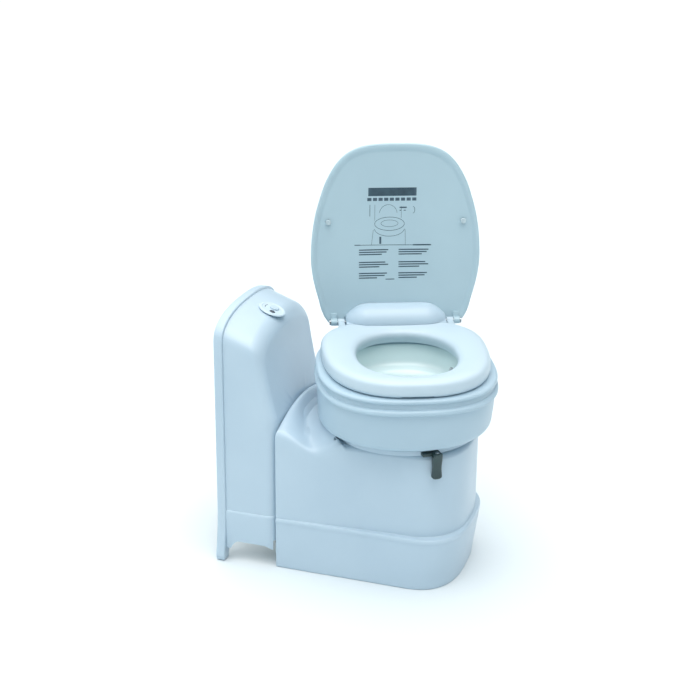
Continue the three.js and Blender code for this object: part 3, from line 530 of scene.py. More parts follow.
def deck(p):
    x, y = p[:, 0], p[:, 1]
    r, q = np.hypot(x, y), np.minimum(1, np.abs(x) / HALF_W)
    valley, crest, rv = 324 - 42 * q ** 2.2, 351 - 31 * q * q, 210
    yv = np.sqrt(np.maximum(0, rv * rv - x * x))
    far = valley + (crest - valley) * smooth((y - yv) / np.maximum(1e-6, 230 - yv) * 0.9 + 0.05)
    collar = DECK_Z + 17 * smooth((y - 50) / 70)
    t = clamp((r - 174) / (rv - 174))
    outer = valley + (collar - valley) * (1 - t) ** 2.2
    near = DECK_Z + (outer - DECK_Z) * smooth((y - 40) / 50)
    z = np.where(y < 40, DECK_Z, near)
    z = np.where(r < 174, DECK_Z + (collar - DECK_Z) * smooth((r - 167) / 7), z)
    z = np.where(r < 167, DECK_Z, z)
    return np.where((y > 0) & (r >= rv), far, z)


SKIRT = lambda d: plan(HALF_W - d, 151 - d, -151 + d, 2.75, SEAM_Y - d * 0.4)
LIP = lambda d: plan(156 - d, 153 - d, -165 + d, 3, SEAM_Y - d * 0.4)
BODY = lambda d: plan(HALF_W - d, 139 - d, -157 + d, 2.6, SEAM_Y - d * 0.4)
mix = lambda a, b, t: a + (b - a) * t
on_deck = lambda p, drop: np.concatenate([p, (deck(p) - drop)[:, None]], 1)
edge = BODY(12)
ring_r = np.hypot(edge[:, 0], edge[:, 1])[:, None]
hole = edge / ring_r * HOLE_R
s0, l1 = lift(SKIRT(0), 0), lift(LIP(1.6), 106)
rings = [lift(SKIRT(1.2), 0), lift(SKIRT(0.3), 0.7), lift(SKIRT(0), 2.2)]
for t in np.linspace(0.08, 1, 12):
    rings.append(lift(mix(SKIRT(0), LIP(1.4), smooth(t) * 0.35 + t * 0.65), 106 * t))
for a in np.linspace(-40, 90, 14):
    c = math.radians(a)
    rings.append(lift(LIP(3.4 * (1 - math.cos(c))), 112.6 + 6.4 * math.sin(c)))
wall0 = lift(BODY(0), LEDGE_Z + 4.4)
for t in (0.3, 0.7, 0.9):
    rings.append(lift(mix(LIP(3.4), BODY(0), t), LEDGE_Z + 0.15 + 0.9 * t ** 4))
rings += [lift(BODY(0.0), LEDGE_Z + 2.0), wall0]
wall1 = on_deck(BODY(0), 13)
rings += [wall0 + (wall1 - wall0) * t for t in np.linspace(0.12, 1, 9)]
for a in np.linspace(9, 90, 10):
    c = math.radians(a)
    rings.append(on_deck(BODY(12 * (1 - math.cos(c))), 13 * (1 - math.sin(c))))
near = np.minimum(ring_r, 180.0)
p180 = edge / ring_r * near
for s in np.linspace(0.04, 1, 24):
    rings.append(on_deck(mix(edge, p180, s), 0))
for rad in list(np.linspace(179, 174.5, 5)) + list(np.linspace(174, 167, 15)) + list(np.linspace(164, HOLE_R, 8)):
    rings.append(on_deck(edge / ring_r * np.minimum(near, rad), 0))
for s in (1, 0.86, 0.7, 0.5, 0.3, 0.12):
    rings.append(on_deck(mix(BODY(14), hole, s), SKIN))
rings += [on_deck(BODY(6), 6), on_deck(BODY(SKIN), 16), lift(BODY(SKIN), LEDGE_Z - 2.4), lift(LIP(6), LEDGE_Z - 4), lift(LIP(SKIN + 1), 108)]
rings += [lift(mix(SKIRT(SKIN + 0.4), LIP(SKIN + 1), 0.5), 60), lift(SKIRT(SKIN), 0)]
base = make("base_shell_fine", loft(rings, True))
base = cut(base, make("t", box(-126, 126, 225, 250, -5, 250)), angle=38)
done(base, "base_shell")

# ------------------------------------------------------------------ floor tray
p = [[120, 236], [-120, 236], [-123, 222], [-143, 208], [-142, 60], [-140, -40], [-131, -90], [-109, -122], [-68, -139], [0, -142], [68, -139], [109, -122], [131, -90], [140, -40], [142, 60], [143, 208], [123, 222]]
tray = bevel(make("floor_tray_fine", ext(rounded(p, 12, True, 6, 6), 0, 5)), 0.8, 2, 50)
tray = join(tray, *[bevel(make("t", box(x - 4, x + 4, -100, 234, 4, 9.5)), 1.4, 3) for x in (-88, 88)])
done(tray, "floor_tray")

# ------------------------------------------------------------------ swivel bearing and blade lever
done(make("bearing_ring_fine", turn([[112, 303], [127.7, 303], [127.7, 308.3], [140, 308.3], [140, 324], [112, 324], [112, 303]], 0.9)), "bearing_ring")
A = RZ(-90 - LEVER_A)
ring = make("lever_ring_fine", turn([[141.6, 309], [158, 309], [158, 319], [141.6, 319], [141.6, 309]], 1.2))
done(ring, "lever_ring")
grip = []
for t in np.linspace(0, 1, 40):
    z = 261 + 52 * t
    end = min(1.0, (z - 261) / 6.0)
    q = math.sqrt(max(0.0, 1 - (1 - end) ** 2)) if end < 1 else 1.0
    q = max(q, 0.12)
    top = 1.0
    q *= 0.94 + 0.06 * math.sqrt(max(0, 1 - (1 - top) ** 2))
    waist = 1 - 0.13 * math.sin(math.pi * clamp((t - 0.12) / 0.75)) ** 2
    c = oval(7.7 * q, 11 * q * waist, 11 * q * waist, 3.0, 0, 64)
    bow = 0.8 * math.sin(math.pi * t)
    grip.append(np.stack([176.3 - bow + c[:, 0] * 0.98, c[:, 1], np.full(64, z)], 1))
grip = make("blade_lever_fine", loft(grip), xf=A)
pad = [make("t", loft([np.stack([184.6 - 0.0 * k + 0 * c, 6.0 * np.cos(c), zz + 0.75 * np.sin(c)], 1) for k in (0,)] * 1 + [np.stack([183.0 + 0 * c, 6.0 * np.cos(c), zz + 0.75 * np.sin(c)], 1)]), xf=A) for zz in (268, 271.5, 275, 278.5) for c in [np.linspace(0, 2 * math.pi, 20, endpoint=False)]]
# The second box is a sideways arm of dark plastic filling the dark patch beside the lever top, which is soft shadow:
# painted shadow in part.
grip = join(grip, *[bevel(make("t", box(*b), xf=A), 1.3, 3) for b in ((158.8, 184, -9, 9, 312, 319), (158.8, 172, -30, -8, 312, 319))])
done(cut(grip, *pad), "blade_lever")
cx, cy = (A @ Vector((176.5, 0, 0))).to_2d()
s = make("lever_screw_fine", turn([[0, 0], [4.2, 0], [4.2, 1.4], [3.0, 2.3], [0, 2.4]], 0.4, 40), xf=T(cx, cy, 319.3))
done(cut(s, make("t", box(-2.8, 2.8, -0.5, 0.5, 1.5, 4), xf=T(cx, cy, 319.3)), make("t", box(-0.5, 0.5, -2.8, 2.8, 1.5, 4), xf=T(cx, cy, 319.3))), "lever_screw")

# ------------------------------------------------------------------ control panel
plate = make("control_panel_fine", turn([[0, 0], [30, 0], [30, 1.3], [28, 3.2], [24.4, 3.4], [22.6, 2.5], [0, 2.4]], 0.8), xf=PANEL)
plate = cut(plate, make("t", disc(10.4, -4, 8), xf=PANEL @ T(6, -2, 0)), make("t", disc(6.4, 1.2, 8), xf=PANEL @ T(-13, -5, 0)))
done(plate, "control_panel")
done(make("flush_button_fine", turn([[0, 0.4], [10, 0.4], [10, 5.0], [8.8, 6.0], [6.5, 5.9], [0, 5.3]], 0.7), xf=PANEL @ T(6, -2, 0)), "flush_button")
done(make("indicator_lens_fine", turn([[0, 1.5], [6.1, 1.5], [6.1, 2.7], [4.6, 3.4], [0, 3.6]], 0.5), xf=PANEL @ T(-13, -5, 0)), "indicator_lens")
# two printed marks on the panel: a level arc and a drop
arc = [(17.6 * math.cos(a), 17.6 * math.sin(a)) for a in np.linspace(math.radians(118), math.radians(62), 20)] + [(16.0 * math.cos(a), 16.0 * math.sin(a)) for a in np.linspace(math.radians(62), math.radians(118), 20)]
mk = make("panel_mark_arc", ext(arc, 2.42, 2.55), INK, PANEL)
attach(mk, "base")
dot = [(19.2 + 1.3 * math.cos(a), 1.5 + 1.9 * math.sin(a)) for a in np.linspace(0, 2 * math.pi, 24, endpoint=False)]
mk = make("panel_mark_dot", ext(dot, 2.42, 2.55), INK, PANEL)
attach(mk, "base")


# ------------------------------------------------------------------ flush-water tank, filler, pump, hose
def rr(wd, z0, z1, r, k=10):
    o = []
    for cx_, cz_, a0 in ((wd - r, z1 - r, 0), (-wd + r, z1 - r, 90), (-wd + r, z0 + r, 180), (wd - r, z0 + r, 270)):
        o += [(cx_ + r * math.cos(math.radians(a0 + a)), cz_ + r * math.sin(math.radians(a0 + a))) for a in np.linspace(0, 90, k)]
    return o


tank = bevel(make("flush_tank_fine", ext(rr(120, 270, 496, 26), 282, 342, "y")), 8, 5, 50)
tank = cut(tank, bevel(make("t", ext(rr(117, 273, 493, 24), 285, 339, "y")), 6, 3, 50), make("t", disc(17, 0, 40), xf=along_y(62, 330, 452)), make("t", disc(5, 265, 275), xf=T(-70, 312, 0)))
done(tank, "flush_tank")
neck = [[17, 0], [21, 0]] + [[20.9, h] for h in np.arange(0.8, 22.8, 0.4)] + [[21, 23.0], [20.2, 23.7], [17.4, 23.7], [17, 23.2], [17, 0]]
done(make("filler_neck_fine", turn(neck, 0.3, 96, lambda a, r, h: np.where((r > 20) & (h > 6) & (h < 21), 0.12 - 0.55 * np.abs(np.sin(a / 2 + math.pi * h / 4)), 0)), xf=along_y(62, 342.3, 452)), "filler_neck")
ribs = lambda depth, n: (lambda a, r, h: np.where(r > 22, -depth * (0.5 + 0.5 * np.cos(n * a)) ** 3, 0))
cap = [[21.4, 0], [25.2, 0], [25.8, 1.5], [25.9, 17.5], [24, 20.4], [16, 21], [15, 19.8], [0, 19.8], [0, 18], [21.4, 18]]
done(make("fill_cap_fine", turn(cap + [cap[0]], 0.5, 240, lambda a, r, h: np.where((r > 25.4), -0.9 * (0.5 + 0.5 * np.cos(30 * a)) ** 2, 0)), xf=along_y(62, 350, 452)), "fill_cap")
pm = [[0, 0], [19, 0], [19, 9], [18.2, 10], [18.2, 12], [19, 13], [19, 40], [12, 46], [6, 46], [0, 46]]
done(make("pump_fine", turn(pm, 1.0), xf=T(-70, 312, 273.3)), "pump")
route = [(-70, 312, 269.2), (-70, 312, 260), (-73, 300, 246), (-79, 272, 240), (-80, 220, 240), (-79, 170, 241), (-72, 128, 247), (-63, 108, 257), (-62, 104, 267), (-62, 104, 275.4)]


def through(pts, k=12):
    P = [np.array(q, float) for q in pts]
    P = [2 * P[0] - P[1]] + P + [2 * P[-1] - P[-2]]
    out = []
    for i in range(1, len(P) - 2):
        p0, p1, p2, p3 = P[i - 1:i + 3]
        t0, t1, t2 = (np.linalg.norm(b - a) ** 0.5 for a, b in ((p0, p1), (p1, p2), (p2, p3)))
        m1 = ((p1 - p0) / t0 - (p2 - p0) / (t0 + t1) + (p2 - p1) / t1) * t1
        m2 = ((p2 - p1) / t1 - (p3 - p1) / (t1 + t2) + (p3 - p2) / t2) * t1
        for q in range(k):
            t = q / k
            out.append((2 * t ** 3 - 3 * t * t + 1) * p1 + (t ** 3 - 2 * t * t + t) * m1 + (3 * t * t - 2 * t ** 3) * p2 + (t ** 3 - t * t) * m2)
    return out + [P[-2]]


def pipe(pts, r, seg=24):
    """Round tube swept along points that lie in a vertical plane or nearly so."""
    P = np.array(pts)
    D = np.gradient(P, axis=0)
    D /= np.linalg.norm(D, axis=1)[:, None]
    side_v = np.array([1.0, 0, 0])
    a = np.linspace(0, 2 * math.pi, seg, endpoint=False)
    out = []
    for q, d in zip(P, D):
        u = side_v - d * (side_v @ d)
        u /= np.linalg.norm(u)
        v = np.cross(d, u)
        out.append(q + r * (np.cos(a)[:, None] * u + np.sin(a)[:, None] * v))
    return loft(out)


done(make("flush_hose_fine", pipe(through(route), 5.9)), "flush_hose")
un = [[0, 276], [9, 276], [9, 279], [7.4, 280], [9, 281.4], [9, 286], [6, 292.4], [0, 292.4]]
done(make("water_union_fine", turn(un, 0.6, 64), xf=T(-62, 104, 0)), "water_union")

# ------------------------------------------------------------------ bowl, shroud, rim
done(make("swivel_flange_fine", tube(98, 150, 324.4, 328.4, 0.8), xf=BOWL), "swivel_flange")
done(make("swivel_spigot_fine", turn([[98, 298], [109.4, 298], [110.6, 299.4], [110.6, 302.4], [109.8, 303], [109.8, 305], [110.6, 305.6], [110.6, 324.1], [98, 324.1], [98, 298]], 0.5), xf=BOWL), "swivel_spigot")
done(make("retaining_ring_fine", turn([[98, 293], [121, 293], [121, 297.6], [98, 297.6], [98, 293]], 0.6), xf=BOWL), "retaining_ring")
SH = [
    [150, 150, 150, 2, 329], [172, 176, 174, 2.1, 329.2], [181, 187, 183, 2.1, 333], [185, 193, 188, 2.15, 341], [186, 196, 190, 2.25, 356], [187, 201, 194, 2.4, 385], [188, 205, 198, 2.5, 419],
    [184.6, 201.6, 194.6, 2.5, 419], [183.6, 197.6, 190.6, 2.4, 385], [182, 192, 186, 2.25, 356], [181, 189, 184, 2.15, 344], [177, 183, 179, 2.1, 337], [170, 174, 172, 2.1, 333], [150, 150, 150, 2, 333]]
# The shroud and rim take the darker copy of the white shell: painted shade.
done(make("bowl_shroud_fine", oval_loft(SH, rnd=0.9), xf=BOWL), "bowl_shroud", BOWL_SHADED)
RM = [
    [184, 201, 194, 2.5, 419.6], [190, 211, 202, 2.6, 419.6], [192.4, 214, 204.5, 2.6, 423], [192.4, 214, 204.5, 2.6, 427], [189.5, 211, 202, 2.6, 430.5], [185.6, 206.4, 198.4, 2.6, 432.4], [184.8, 205.6, 197.4, 2.6, 443],
    [189.4, 210.4, 202, 2.6, 445.6], [190, 211, 202.6, 2.6, 449.5], [187, 207.6, 200, 2.6, 453], [180, 200, 193, 2.6, 454.4], [128, 158, 138, 2.3, 454.4], [124, 154, 134, 2.3, 451], [123.6, 153.6, 133.6, 2.3, 441],
    [127, 157, 137, 2.3, 441], [130, 160, 140, 2.3, 450], [178, 198, 190, 2.6, 450], [181.6, 202.6, 194.6, 2.6, 446], [181.6, 201.8, 194.4, 2.6, 432], [184, 203, 196, 2.6, 428]]
done(make("rim_ring_fine", oval_loft(RM, step=1.6, corner=55, rnd=1.0), xf=BOWL), "rim_ring", BOWL_SHADED)
IB = [
    [121, 151, 131, 2.3, 449], [118.4, 147.4, 127.4, 2.3, 430], [115.4, 144, 124, 2.3, 411], [111, 138, 118, 2.3, 403], [99, 118, 103, 2.25, 397], [87, 97, 89, 2.15, 374], [81, 85, 81, 2.05, 338], [74, 76, 74, 2, 308], [58, 60, 58, 2, 286], [46, 46, 46, 2, 262], [42, 42, 42, 2, 246], [42, 42, 42, 2, 219],
    [46, 46, 46, 2, 219], [46, 46, 46, 2, 246], [50, 50, 50, 2, 262], [62, 64, 62, 2, 283], [78, 80, 78, 2, 305], [85, 89, 85, 2.05, 336], [91, 101, 93, 2.15, 371], [103, 122, 107, 2.25, 392.6], [115, 142, 122, 2.3, 398.6], [119.4, 148, 128, 2.3, 410], [121.8, 151.4, 131.4, 2.3, 431], [121.9, 151.9, 131.9, 2.3, 449]]
done(make("inner_bowl_fine", oval_loft(IB, step=4, rnd=1.0), xf=BOWL), "inner_bowl")
for name, s in (("flush_nozzle_left", 1), ("flush_nozzle_right", -1)):
    hood = []
    for t in np.linspace(-1, 1, 26):
        q = max(0.05, (1 - abs(t) ** 2.6) ** 0.5)
        c = oval(4.1 * q, 5.4 * q, 5.4 * q, 2.4, 0, 40)
        hood.append(np.stack([s * 104.6 + c[:, 0], np.full(40, 30 + 8.2 * t), 424 + c[:, 1]], 1))
    hd = make(name + "_fine", loft(hood), xf=BOWL)
    done(cut(hd, make("t", box(s * 104.6 - 6 - s * 3, s * 104.6 + 6 - s * 3, 20, 25.5, 422, 424.4), xf=BOWL)), name)

# ------------------------------------------------------------------ seat
SO = lambda d: [178 - d, 236 - d, 158 - d, 2.55, 30]
SI = lambda d: [106 + d, 134 + d, 132 + d, 2.2, -17]
seat_rows = [SI(6) + [SEAT_Z0], SO(5) + [SEAT_Z0], SO(0.6) + [SEAT_Z0 + 5], SO(0) + [SEAT_Z0 + 16], SO(2.4) + [SEAT_Z0 + 26], SO(9) + [SEAT_Z1 - 2.2], SO(22) + [SEAT_Z1], SI(22) + [SEAT_Z1 - 1.5], SI(9) + [SEAT_Z1 - 4.5], SI(2) + [SEAT_Z1 - 10], SI(0) + [SEAT_Z1 - 18]]
seat = make("seat_fine", oval_loft(seat_rows, step=3, corner=60, rnd=2.2), xf=BOWL)


def knuckle(x0, x1, r=7.8): return make("t", turn([[0, 0], [r, 0], [r, x1 - x0], [0, x1 - x0]], 0.8, 64), xf=BOWL @ along_x(x0, HINGE_Y, HINGE_Z))
def bbox(*a, xf=BOWL, bev=0):
    o_ = make("t", box(*a), xf=xf)
    return bevel(o_, bev, 3) if bev else o_


def cover(x):
    """Radius of the cover over the hinge at a distance from the middle."""
    return 42 - 27 * np.clip((np.abs(x) - 60) / 52, 0, 1) ** 2.2


seat = join(seat, bbox(-129.5, -115, 132, HINGE_Y, 476.4, 487, bev=1.5), bbox(115, 129.5, 132, HINGE_Y, 476.4, 487, bev=1.5), knuckle(-129.5, -115), knuckle(115, 129.5))
eye = lambda: make("t", disc(4.4, 0, 400), xf=BOWL @ along_x(-200, HINGE_Y, HINGE_Z))
nx = np.concatenate([np.linspace(-112, -64, 28), np.linspace(-60, 60, 13), np.linspace(64, 112, 28)])
gap = [(-114, 230), (-114, HINGE_Y - 30.8)] + [(x, HINGE_Y - 1.7 - max(29.2, cover(x))) for x in nx] + [(114, HINGE_Y - 30.8), (114, 230)]
seat = cut(seat, make("t", ext(gap, 440, 500), xf=BOWL), eye(), bevel(make("t", box(-34, 34, -215, -176, 450, 459.3), xf=BOWL), 2.2, 4))
done(seat, "seat", SEATM)
for i, (x, y) in enumerate(((-140, -60), (140, -60), (-120, 120), (120, 120))):
    done(make("seat_buffer_fine_%d" % (i + 1), turn([[0, 454.7], [6.4, 454.7], [7, 455.2], [7, 456.2], [0, 456.2]], 0.2, 48), xf=BOWL @ T(x, y, 0)), "seat_buffer_%d" % (i + 1))

# ------------------------------------------------------------------ lid
LZ = 492.2
LW = [(-13, 96), (-11, 128), (-6, 146), (4, 155), (18, 162.5), (34, 168), (52, 172.5), (76, 179), (104, 185), (136, 188.5), (172, 188), (208, 184.5), (244, 178), (276, 169), (308, 158), (334, 145), (355, 131), (373, 113), (385, 92), (393, 64), (396, 32)]


def ring_through(pts, k=7):
    """Closed smooth curve through points."""
    P = np.array(pts, float)
    n, out = len(P), []
    for i in range(n):
        p0, p1, p2, p3 = P[i - 1], P[i], P[(i + 1) % n], P[(i + 2) % n]
        t0, t1, t2 = (np.linalg.norm(b - a) ** 0.5 for a, b in ((p0, p1), (p1, p2), (p2, p3)))
        m1 = ((p1 - p0) / t0 - (p2 - p0) / (t0 + t1) + (p2 - p1) / t1) * t1
        m2 = ((p2 - p1) / t1 - (p3 - p1) / (t1 + t2) + (p3 - p2) / t2) * t1
        for q in range(k):
            t = q / k
            out.append((2 * t ** 3 - 3 * t * t + 1) * p1 + (t ** 3 - 2 * t * t + t) * m1 + (3 * t * t - 2 * t ** 3) * p2 + (t ** 3 - t * t) * m2)
    return np.array(out)


half = [(w, HINGE_Y - l) for l, w in LW]
LID_EDGE = ring_through(half[::-1] + [(0, HINGE_Y + 13)] + [(-x, y) for x, y in half] + [(0, HINGE_Y - 396.6)])
LO = lambda d: np.stack([LID_EDGE[:, 0] * (1 - d / 190), 44 + (LID_EDGE[:, 1] - 44) * (1 - d / 205)], 1)
lid_keys = [[14, 0.97], [14, 0.66], [14, 0.4], [14, 0.18], [14, 0.0]]
inner = lambda s: LZ + 4.5 + 11 * (1 - (1 - s) ** 2)
outer = lambda s: LZ + 9.4 + 10 * (1 - (1 - s) ** 2)
scaled = lambda p, s: np.stack([p[:, 0] * (1 - s), 5 + (p[:, 1] - 5) * (1 - s)], 1)
rings = [lift(scaled(LO(14), s), inner(s)) for s in (0.97, 0.85, 0.72, 0.6, 0.48, 0.37, 0.27, 0.18, 0.11, 0.05, 0.015)]
lip = [(14, 4.5), (11, 2.4), (8, 0.9), (5.2, 0.1), (3, 0.1), (1.2, 0.9), (0.2, 2.4), (0, 4.0), (0.4, 6), (1.5, 7.8), (3.2, 9.0), (5, 9.4)]
lip = rounded(lip, 1.2, False, 3, 3)
rings += [lift(LO(d), LZ + h) for d, h in lip]
rings += [lift(scaled(LO(5), s), outer(s)) for s in (0.03, 0.08, 0.15, 0.25, 0.36, 0.48, 0.6, 0.72, 0.84, 0.95)]
lid = make("lid_fine", loft(rings), xf=LID)


def lug(x0, x1):
    k = make("t", turn([[0, 0], [7.8, 0], [7.8, x1 - x0], [0, x1 - x0]], 0.8, 64), xf=LID @ along_x(x0, HINGE_Y, HINGE_Z))
    return [k, bevel(make("t", box(x0, x1, HINGE_Y - 18, HINGE_Y + 8, 492.4, 501), xf=LID), 1.0, 2), bevel(make("t", box(x0, x1, HINGE_Y - 7.6, HINGE_Y + 7.6, 483, 496), xf=LID), 1.0, 2)]


lid = join(lid, *lug(-145, -131), *lug(131, 145))
ta = np.linspace(0, 2 * math.pi, 96, endpoint=False)
around = [np.stack([np.full(96, x), HINGE_Y + (cover(x) + 1.3) * np.cos(ta), HINGE_Z + (cover(x) + 1.3) * np.sin(ta)], 1) for x in np.concatenate([[-114.6], nx[1:-1], [114.6]])]
lid = cut(lid, make("t", loft(around), xf=LID), make("t", disc(4.4, 0, 400), xf=LID @ along_x(-200, HINGE_Y, HINGE_Z)))
# The lid takes the darker copy of the white shell: painted shade.
done(lid, "lid", LID_SHADED)
for i, x in enumerate((-150, 150)):
    done(make("lid_buffer_fine_%d" % (i + 1), turn([[0, LZ - 1.9], [5.2, LZ - 1.9], [6, LZ - 1.1], [6, LZ + 4.2], [0, LZ + 4.2]], 0.3, 48), xf=LID @ T(x, -40, 0)), "lid_buffer_%d" % (i + 1))

# ------------------------------------------------------------------ hinge block and pins
rings = []
bx = np.concatenate([[-112, -111.7, -111.2, -110.4], np.linspace(-109, -71, 26), np.linspace(-66, 66, 23), np.linspace(71, 109, 26), [110.4, 111.2, 111.7, 112]])
for x in bx:
    R = float(cover(x)) - 3.0 * (1 - math.sqrt(max(0.0, 1 - (max(0.0, abs(x) - 109) / 3.0) ** 2)))
    o_ = [(x, HINGE_Y - R, 478)]
    for a in np.arange(180, 19, -3):
        c, sn = math.cos(math.radians(a)), math.sin(math.radians(a))
        o_.append((x, HINGE_Y + R * c, HINGE_Z + R * sn))
    o_ += [(x, HINGE_Y + min(12.4, R * 0.9), 478)]
    rings.append(o_)
block = make("hinge_block_fine", loft(rings), xf=BOWL, angle=50)
block = join(block, bbox(-112, 112, HINGE_Y - 28.9, HINGE_Y + 13, 454.8, 490, bev=1.6))
block = cut(block, make("t", disc(4.4, 0, 60), xf=BOWL @ along_x(-120, HINGE_Y, HINGE_Z)), make("t", disc(4.4, 0, 60), xf=BOWL @ along_x(60, HINGE_Y, HINGE_Z)), angle=40)
done(block, "hinge_block")
done(make("hinge_pin_left_fine", turn([[0, 0], [3.2, 0], [4, 1.2], [4, 81.6], [6.5, 81.6], [6.5, 84.6], [0, 84.6]], 0.5, 48), xf=BOWL @ along_x(64, HINGE_Y, HINGE_Z)), "hinge_pin_left")
done(make("hinge_pin_right_fine", turn([[0, 0], [6.5, 0], [6.5, 3], [4, 3], [4, 83.4], [3.2, 84.6], [0, 84.6]], 0.5, 48), xf=BOWL @ along_x(-148.6, HINGE_Y, HINGE_Z)), "hinge_pin_right")


# ------------------------------------------------------------------ waste cassette
def cassette_outline(d, y1, k=12):
    r, x, y = 62 - d, 120 - d, -112 + d
    o = [(x, y1), (-x, y1)]
    o += [(-x + r + r * math.cos(a), y + r + r * math.sin(a)) for a in np.linspace(math.pi, 1.5 * math.pi, k)]
    o += [(x - r + r * math.cos(a), y + r + r * math.sin(a)) for a in np.linspace(1.5 * math.pi, 2 * math.pi, k)]
    return o


c_low = bevel(make("cassette_tank_fine", ext(cassette_outline(0, 235), 10, 203)), 7, 5, 50)
c_head = bevel(make("t", box(-120, 120, 226, 300, 52, 203)), 7, 5, 50)
tank = join(c_low, c_head)
band = ext(cassette_outline(-1.2, 300), 118, 124)
tank = cut(tank, make("t", ext(cassette_outline(3, 232, 8), 13, 200)), make("t", box(-117, 117, 231, 297, 55, 200)), make("t", disc(47, 190, 212, 80)),
           make("t", disc(24, 0, 20), xf=along_y(62, 290, 120)), make("t", disc(8.4, 190, 210, 40), xf=T(-90, 262, 0)),
           *[make("t", ext(rounded([[y0, 70], [y0 + 42, 70], [y0 + 42, 178], [y0, 178]], 8), sx, sx + 1.2, "x")) for y0 in (-30, 36, 102, 168) for sx in (-120.6, 119.4)])
done(tank, "cassette_tank")
done(make("lip_seal_fine", turn([[47, 203.3], [60, 203.3], [60, 207], [56, 209.6], [52, 213], [46, 213.4], [46.6, 208], [47, 203.3]], 0.7)), "lip_seal")
cover = bevel(make("sliding_cover_fine", ext(rounded([[68, 215], [-68, 215], [-68, 75], [68, 75]], 6), 214, 217)), 0.7, 2, 50)
cover = join(cover, bevel(make("t", box(-68, -62, 80, 210, 206, 215)), 0.7, 2), bevel(make("t", box(62, 68, 80, 210, 206, 215)), 0.7, 2))
cover = cut(cover, *[make("t", box(-40, 40, y, y + 2.4, 216.3, 220)) for y in (86, 93, 100)])
done(cover, "sliding_cover")
vb = rounded([[54, 50], [-54, 50], [-54, -20], [-46, -40], [-28, -52], [0, -56], [28, -52], [46, -40], [54, -20]], 12, True, 6, 6)
blade = bevel(make("valve_blade_fine", ext(vb, 195.5, 198.5)), 0.6, 2, 50)
done(join(blade, bevel(make("t", box(-6, 6, 30, 48, 190, 196)), 0.8, 2)), "valve_blade")
for nm, x0 in (("blade_guide_left", -64), ("blade_guide_right", 56)):
    done(bevel(make(nm + "_fine", box(x0, x0 + 8, -60, 165, 190, 199.6)), 0.8, 2), nm)
sp = make("pour_spout_fine", turn([[0, 0], [32, 0], [32, 40], [0, 40]], 2.0, 96), xf=along_y(62, 300.4, 120))
sp = join(sp, make("t", turn([[0, 0], [24, 0], [24, 102], [0, 102]], 1.2, 96), xf=along_x(-40, 331.5, 120)))
sp = cut(sp, make("t", disc(23, 0, 34), xf=along_y(62, 300, 120)), make("t", disc(20, 0, 110), xf=along_x(-50, 331.5, 120)))
done(sp, "pour_spout")
scap = [[0, 0], [28, 0], [29, 1.2], [29, 21], [28.4, 22], [24.6, 22], [24.6, 4], [0, 4]]
done(make("spout_cap_fine", turn(scap, 0.5, 240, lambda a, r, h: np.where(r > 28.2, -1.1 * (0.5 + 0.5 * np.cos(24 * a)) ** 2, 0)), xf=along_x(-45, 331.5, 120)), "spout_cap")
done(make("vent_button_fine", turn([[0, 197], [7.8, 197], [7.8, 208.5], [11, 208.5], [11, 211.6], [9.8, 212.5], [0, 212.0]], 0.6, 64), xf=T(-90, 262, 0)), "vent_button")
bail = rounded([[60, 240], [60, 297], [-60, 297], [-60, 240], [-47, 240], [-47, 284], [47, 284], [47, 240]], 9, True, 8)
hnd = bevel(make("carry_handle_fine", ext(bail, 205, 213)), 2.6, 4, 50)
hnd = join(hnd, make("t", turn([[0, 0], [5.5, 0], [5.5, 13], [0, 13]], 0.8, 48), xf=along_x(47, 240, 209.2)), make("t", turn([[0, 0], [5.5, 0], [5.5, 13], [0, 13]], 0.8, 48), xf=along_x(-60, 240, 209.2)))
done(hnd, "carry_handle")
fl = bevel(make("level_float_fine", box(-112, -92, 120, 160, 60, 84)), 3, 4)
fl = join(fl, bevel(make("t", box(-104, -100, 138, 142, 80, 192)), 0.6, 2), make("t", turn([[0, 0], [5, 0], [5, 10], [0, 10]], 0.5, 40), xf=along_x(-107, 140, 190)))
done(fl, "level_float")
la = bevel(make("cassette_latch_fine", ext(rounded([[52, 243], [76, 243], [76, 276], [52, 276]], 5), 4.6, 8.6)), 0.9, 3, 50)
la = join(la, make("t", turn([[0, 0], [3.4, 0], [3.4, 24], [0, 24]], 0.4, 40), xf=along_x(52, 243.5, 6)))
done(cut(la, *[make("t", box(56, 72, y, y + 1.4, 8.1, 10)) for y in (262, 265.5, 269)]), "cassette_latch")

# ------------------------------------------------------------------ printed label on the lid's inner face: bars and lines only


def lid_z(x, y):
    """Height of the lid's dished inner face at a point, lid closed."""
    P_ = LO(14)
    ang = np.unwrap(np.arctan2(P_[:, 1] - 5, P_[:, 0]))
    rad = np.hypot(P_[:, 0], P_[:, 1] - 5)
    a = math.atan2(y - 5, x)
    order = np.argsort(np.mod(ang, 2 * math.pi))
    R_ = np.interp(a % (2 * math.pi), np.mod(ang, 2 * math.pi)[order], rad[order], period=2 * math.pi)
    f = min(1.0, math.hypot(x, y - 5) / R_)
    return LZ + 4.5 + 11 * (1 - f * f)


def patch(pts):
    """Thin printed strip between two rows of points, laid on the dished face."""
    V, F = [], []
    k = len(pts)
    for a, b in pts:
        for q in (a, b):
            z = lid_z(*q)
            V += [(q[0], q[1], z + 0.05), (q[0], q[1], z - 0.12)]
    for i in range(k - 1):
        o_ = 4 * i
        F += [(o_, o_ + 2, o_ + 6, o_ + 4), (o_ + 1, o_ + 5, o_ + 7, o_ + 3), (o_, o_ + 4, o_ + 5, o_ + 1), (o_ + 2, o_ + 3, o_ + 7, o_ + 6)]
    e = 4 * (k - 1)
    F += [(0, 1, 3, 2), (e, e + 2, e + 3, e + 1)]
    return V, F


def strips(name, items):
    V, F = [], []
    for pts in items:
        v, f = patch(pts)
        F += [tuple(i + len(V) for i in q) for q in f]
        V += v
    ob = make(name, (V, F), INK, LID)
    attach(ob, "lid")
    return ob


LX, LY = -4, -12    # label position


def bar(x0, x1, y0, y1, k=8):
    return [((x + LX, y0 + LY), (x + LX, y1 + LY)) for x in np.linspace(x0, x1, k)]


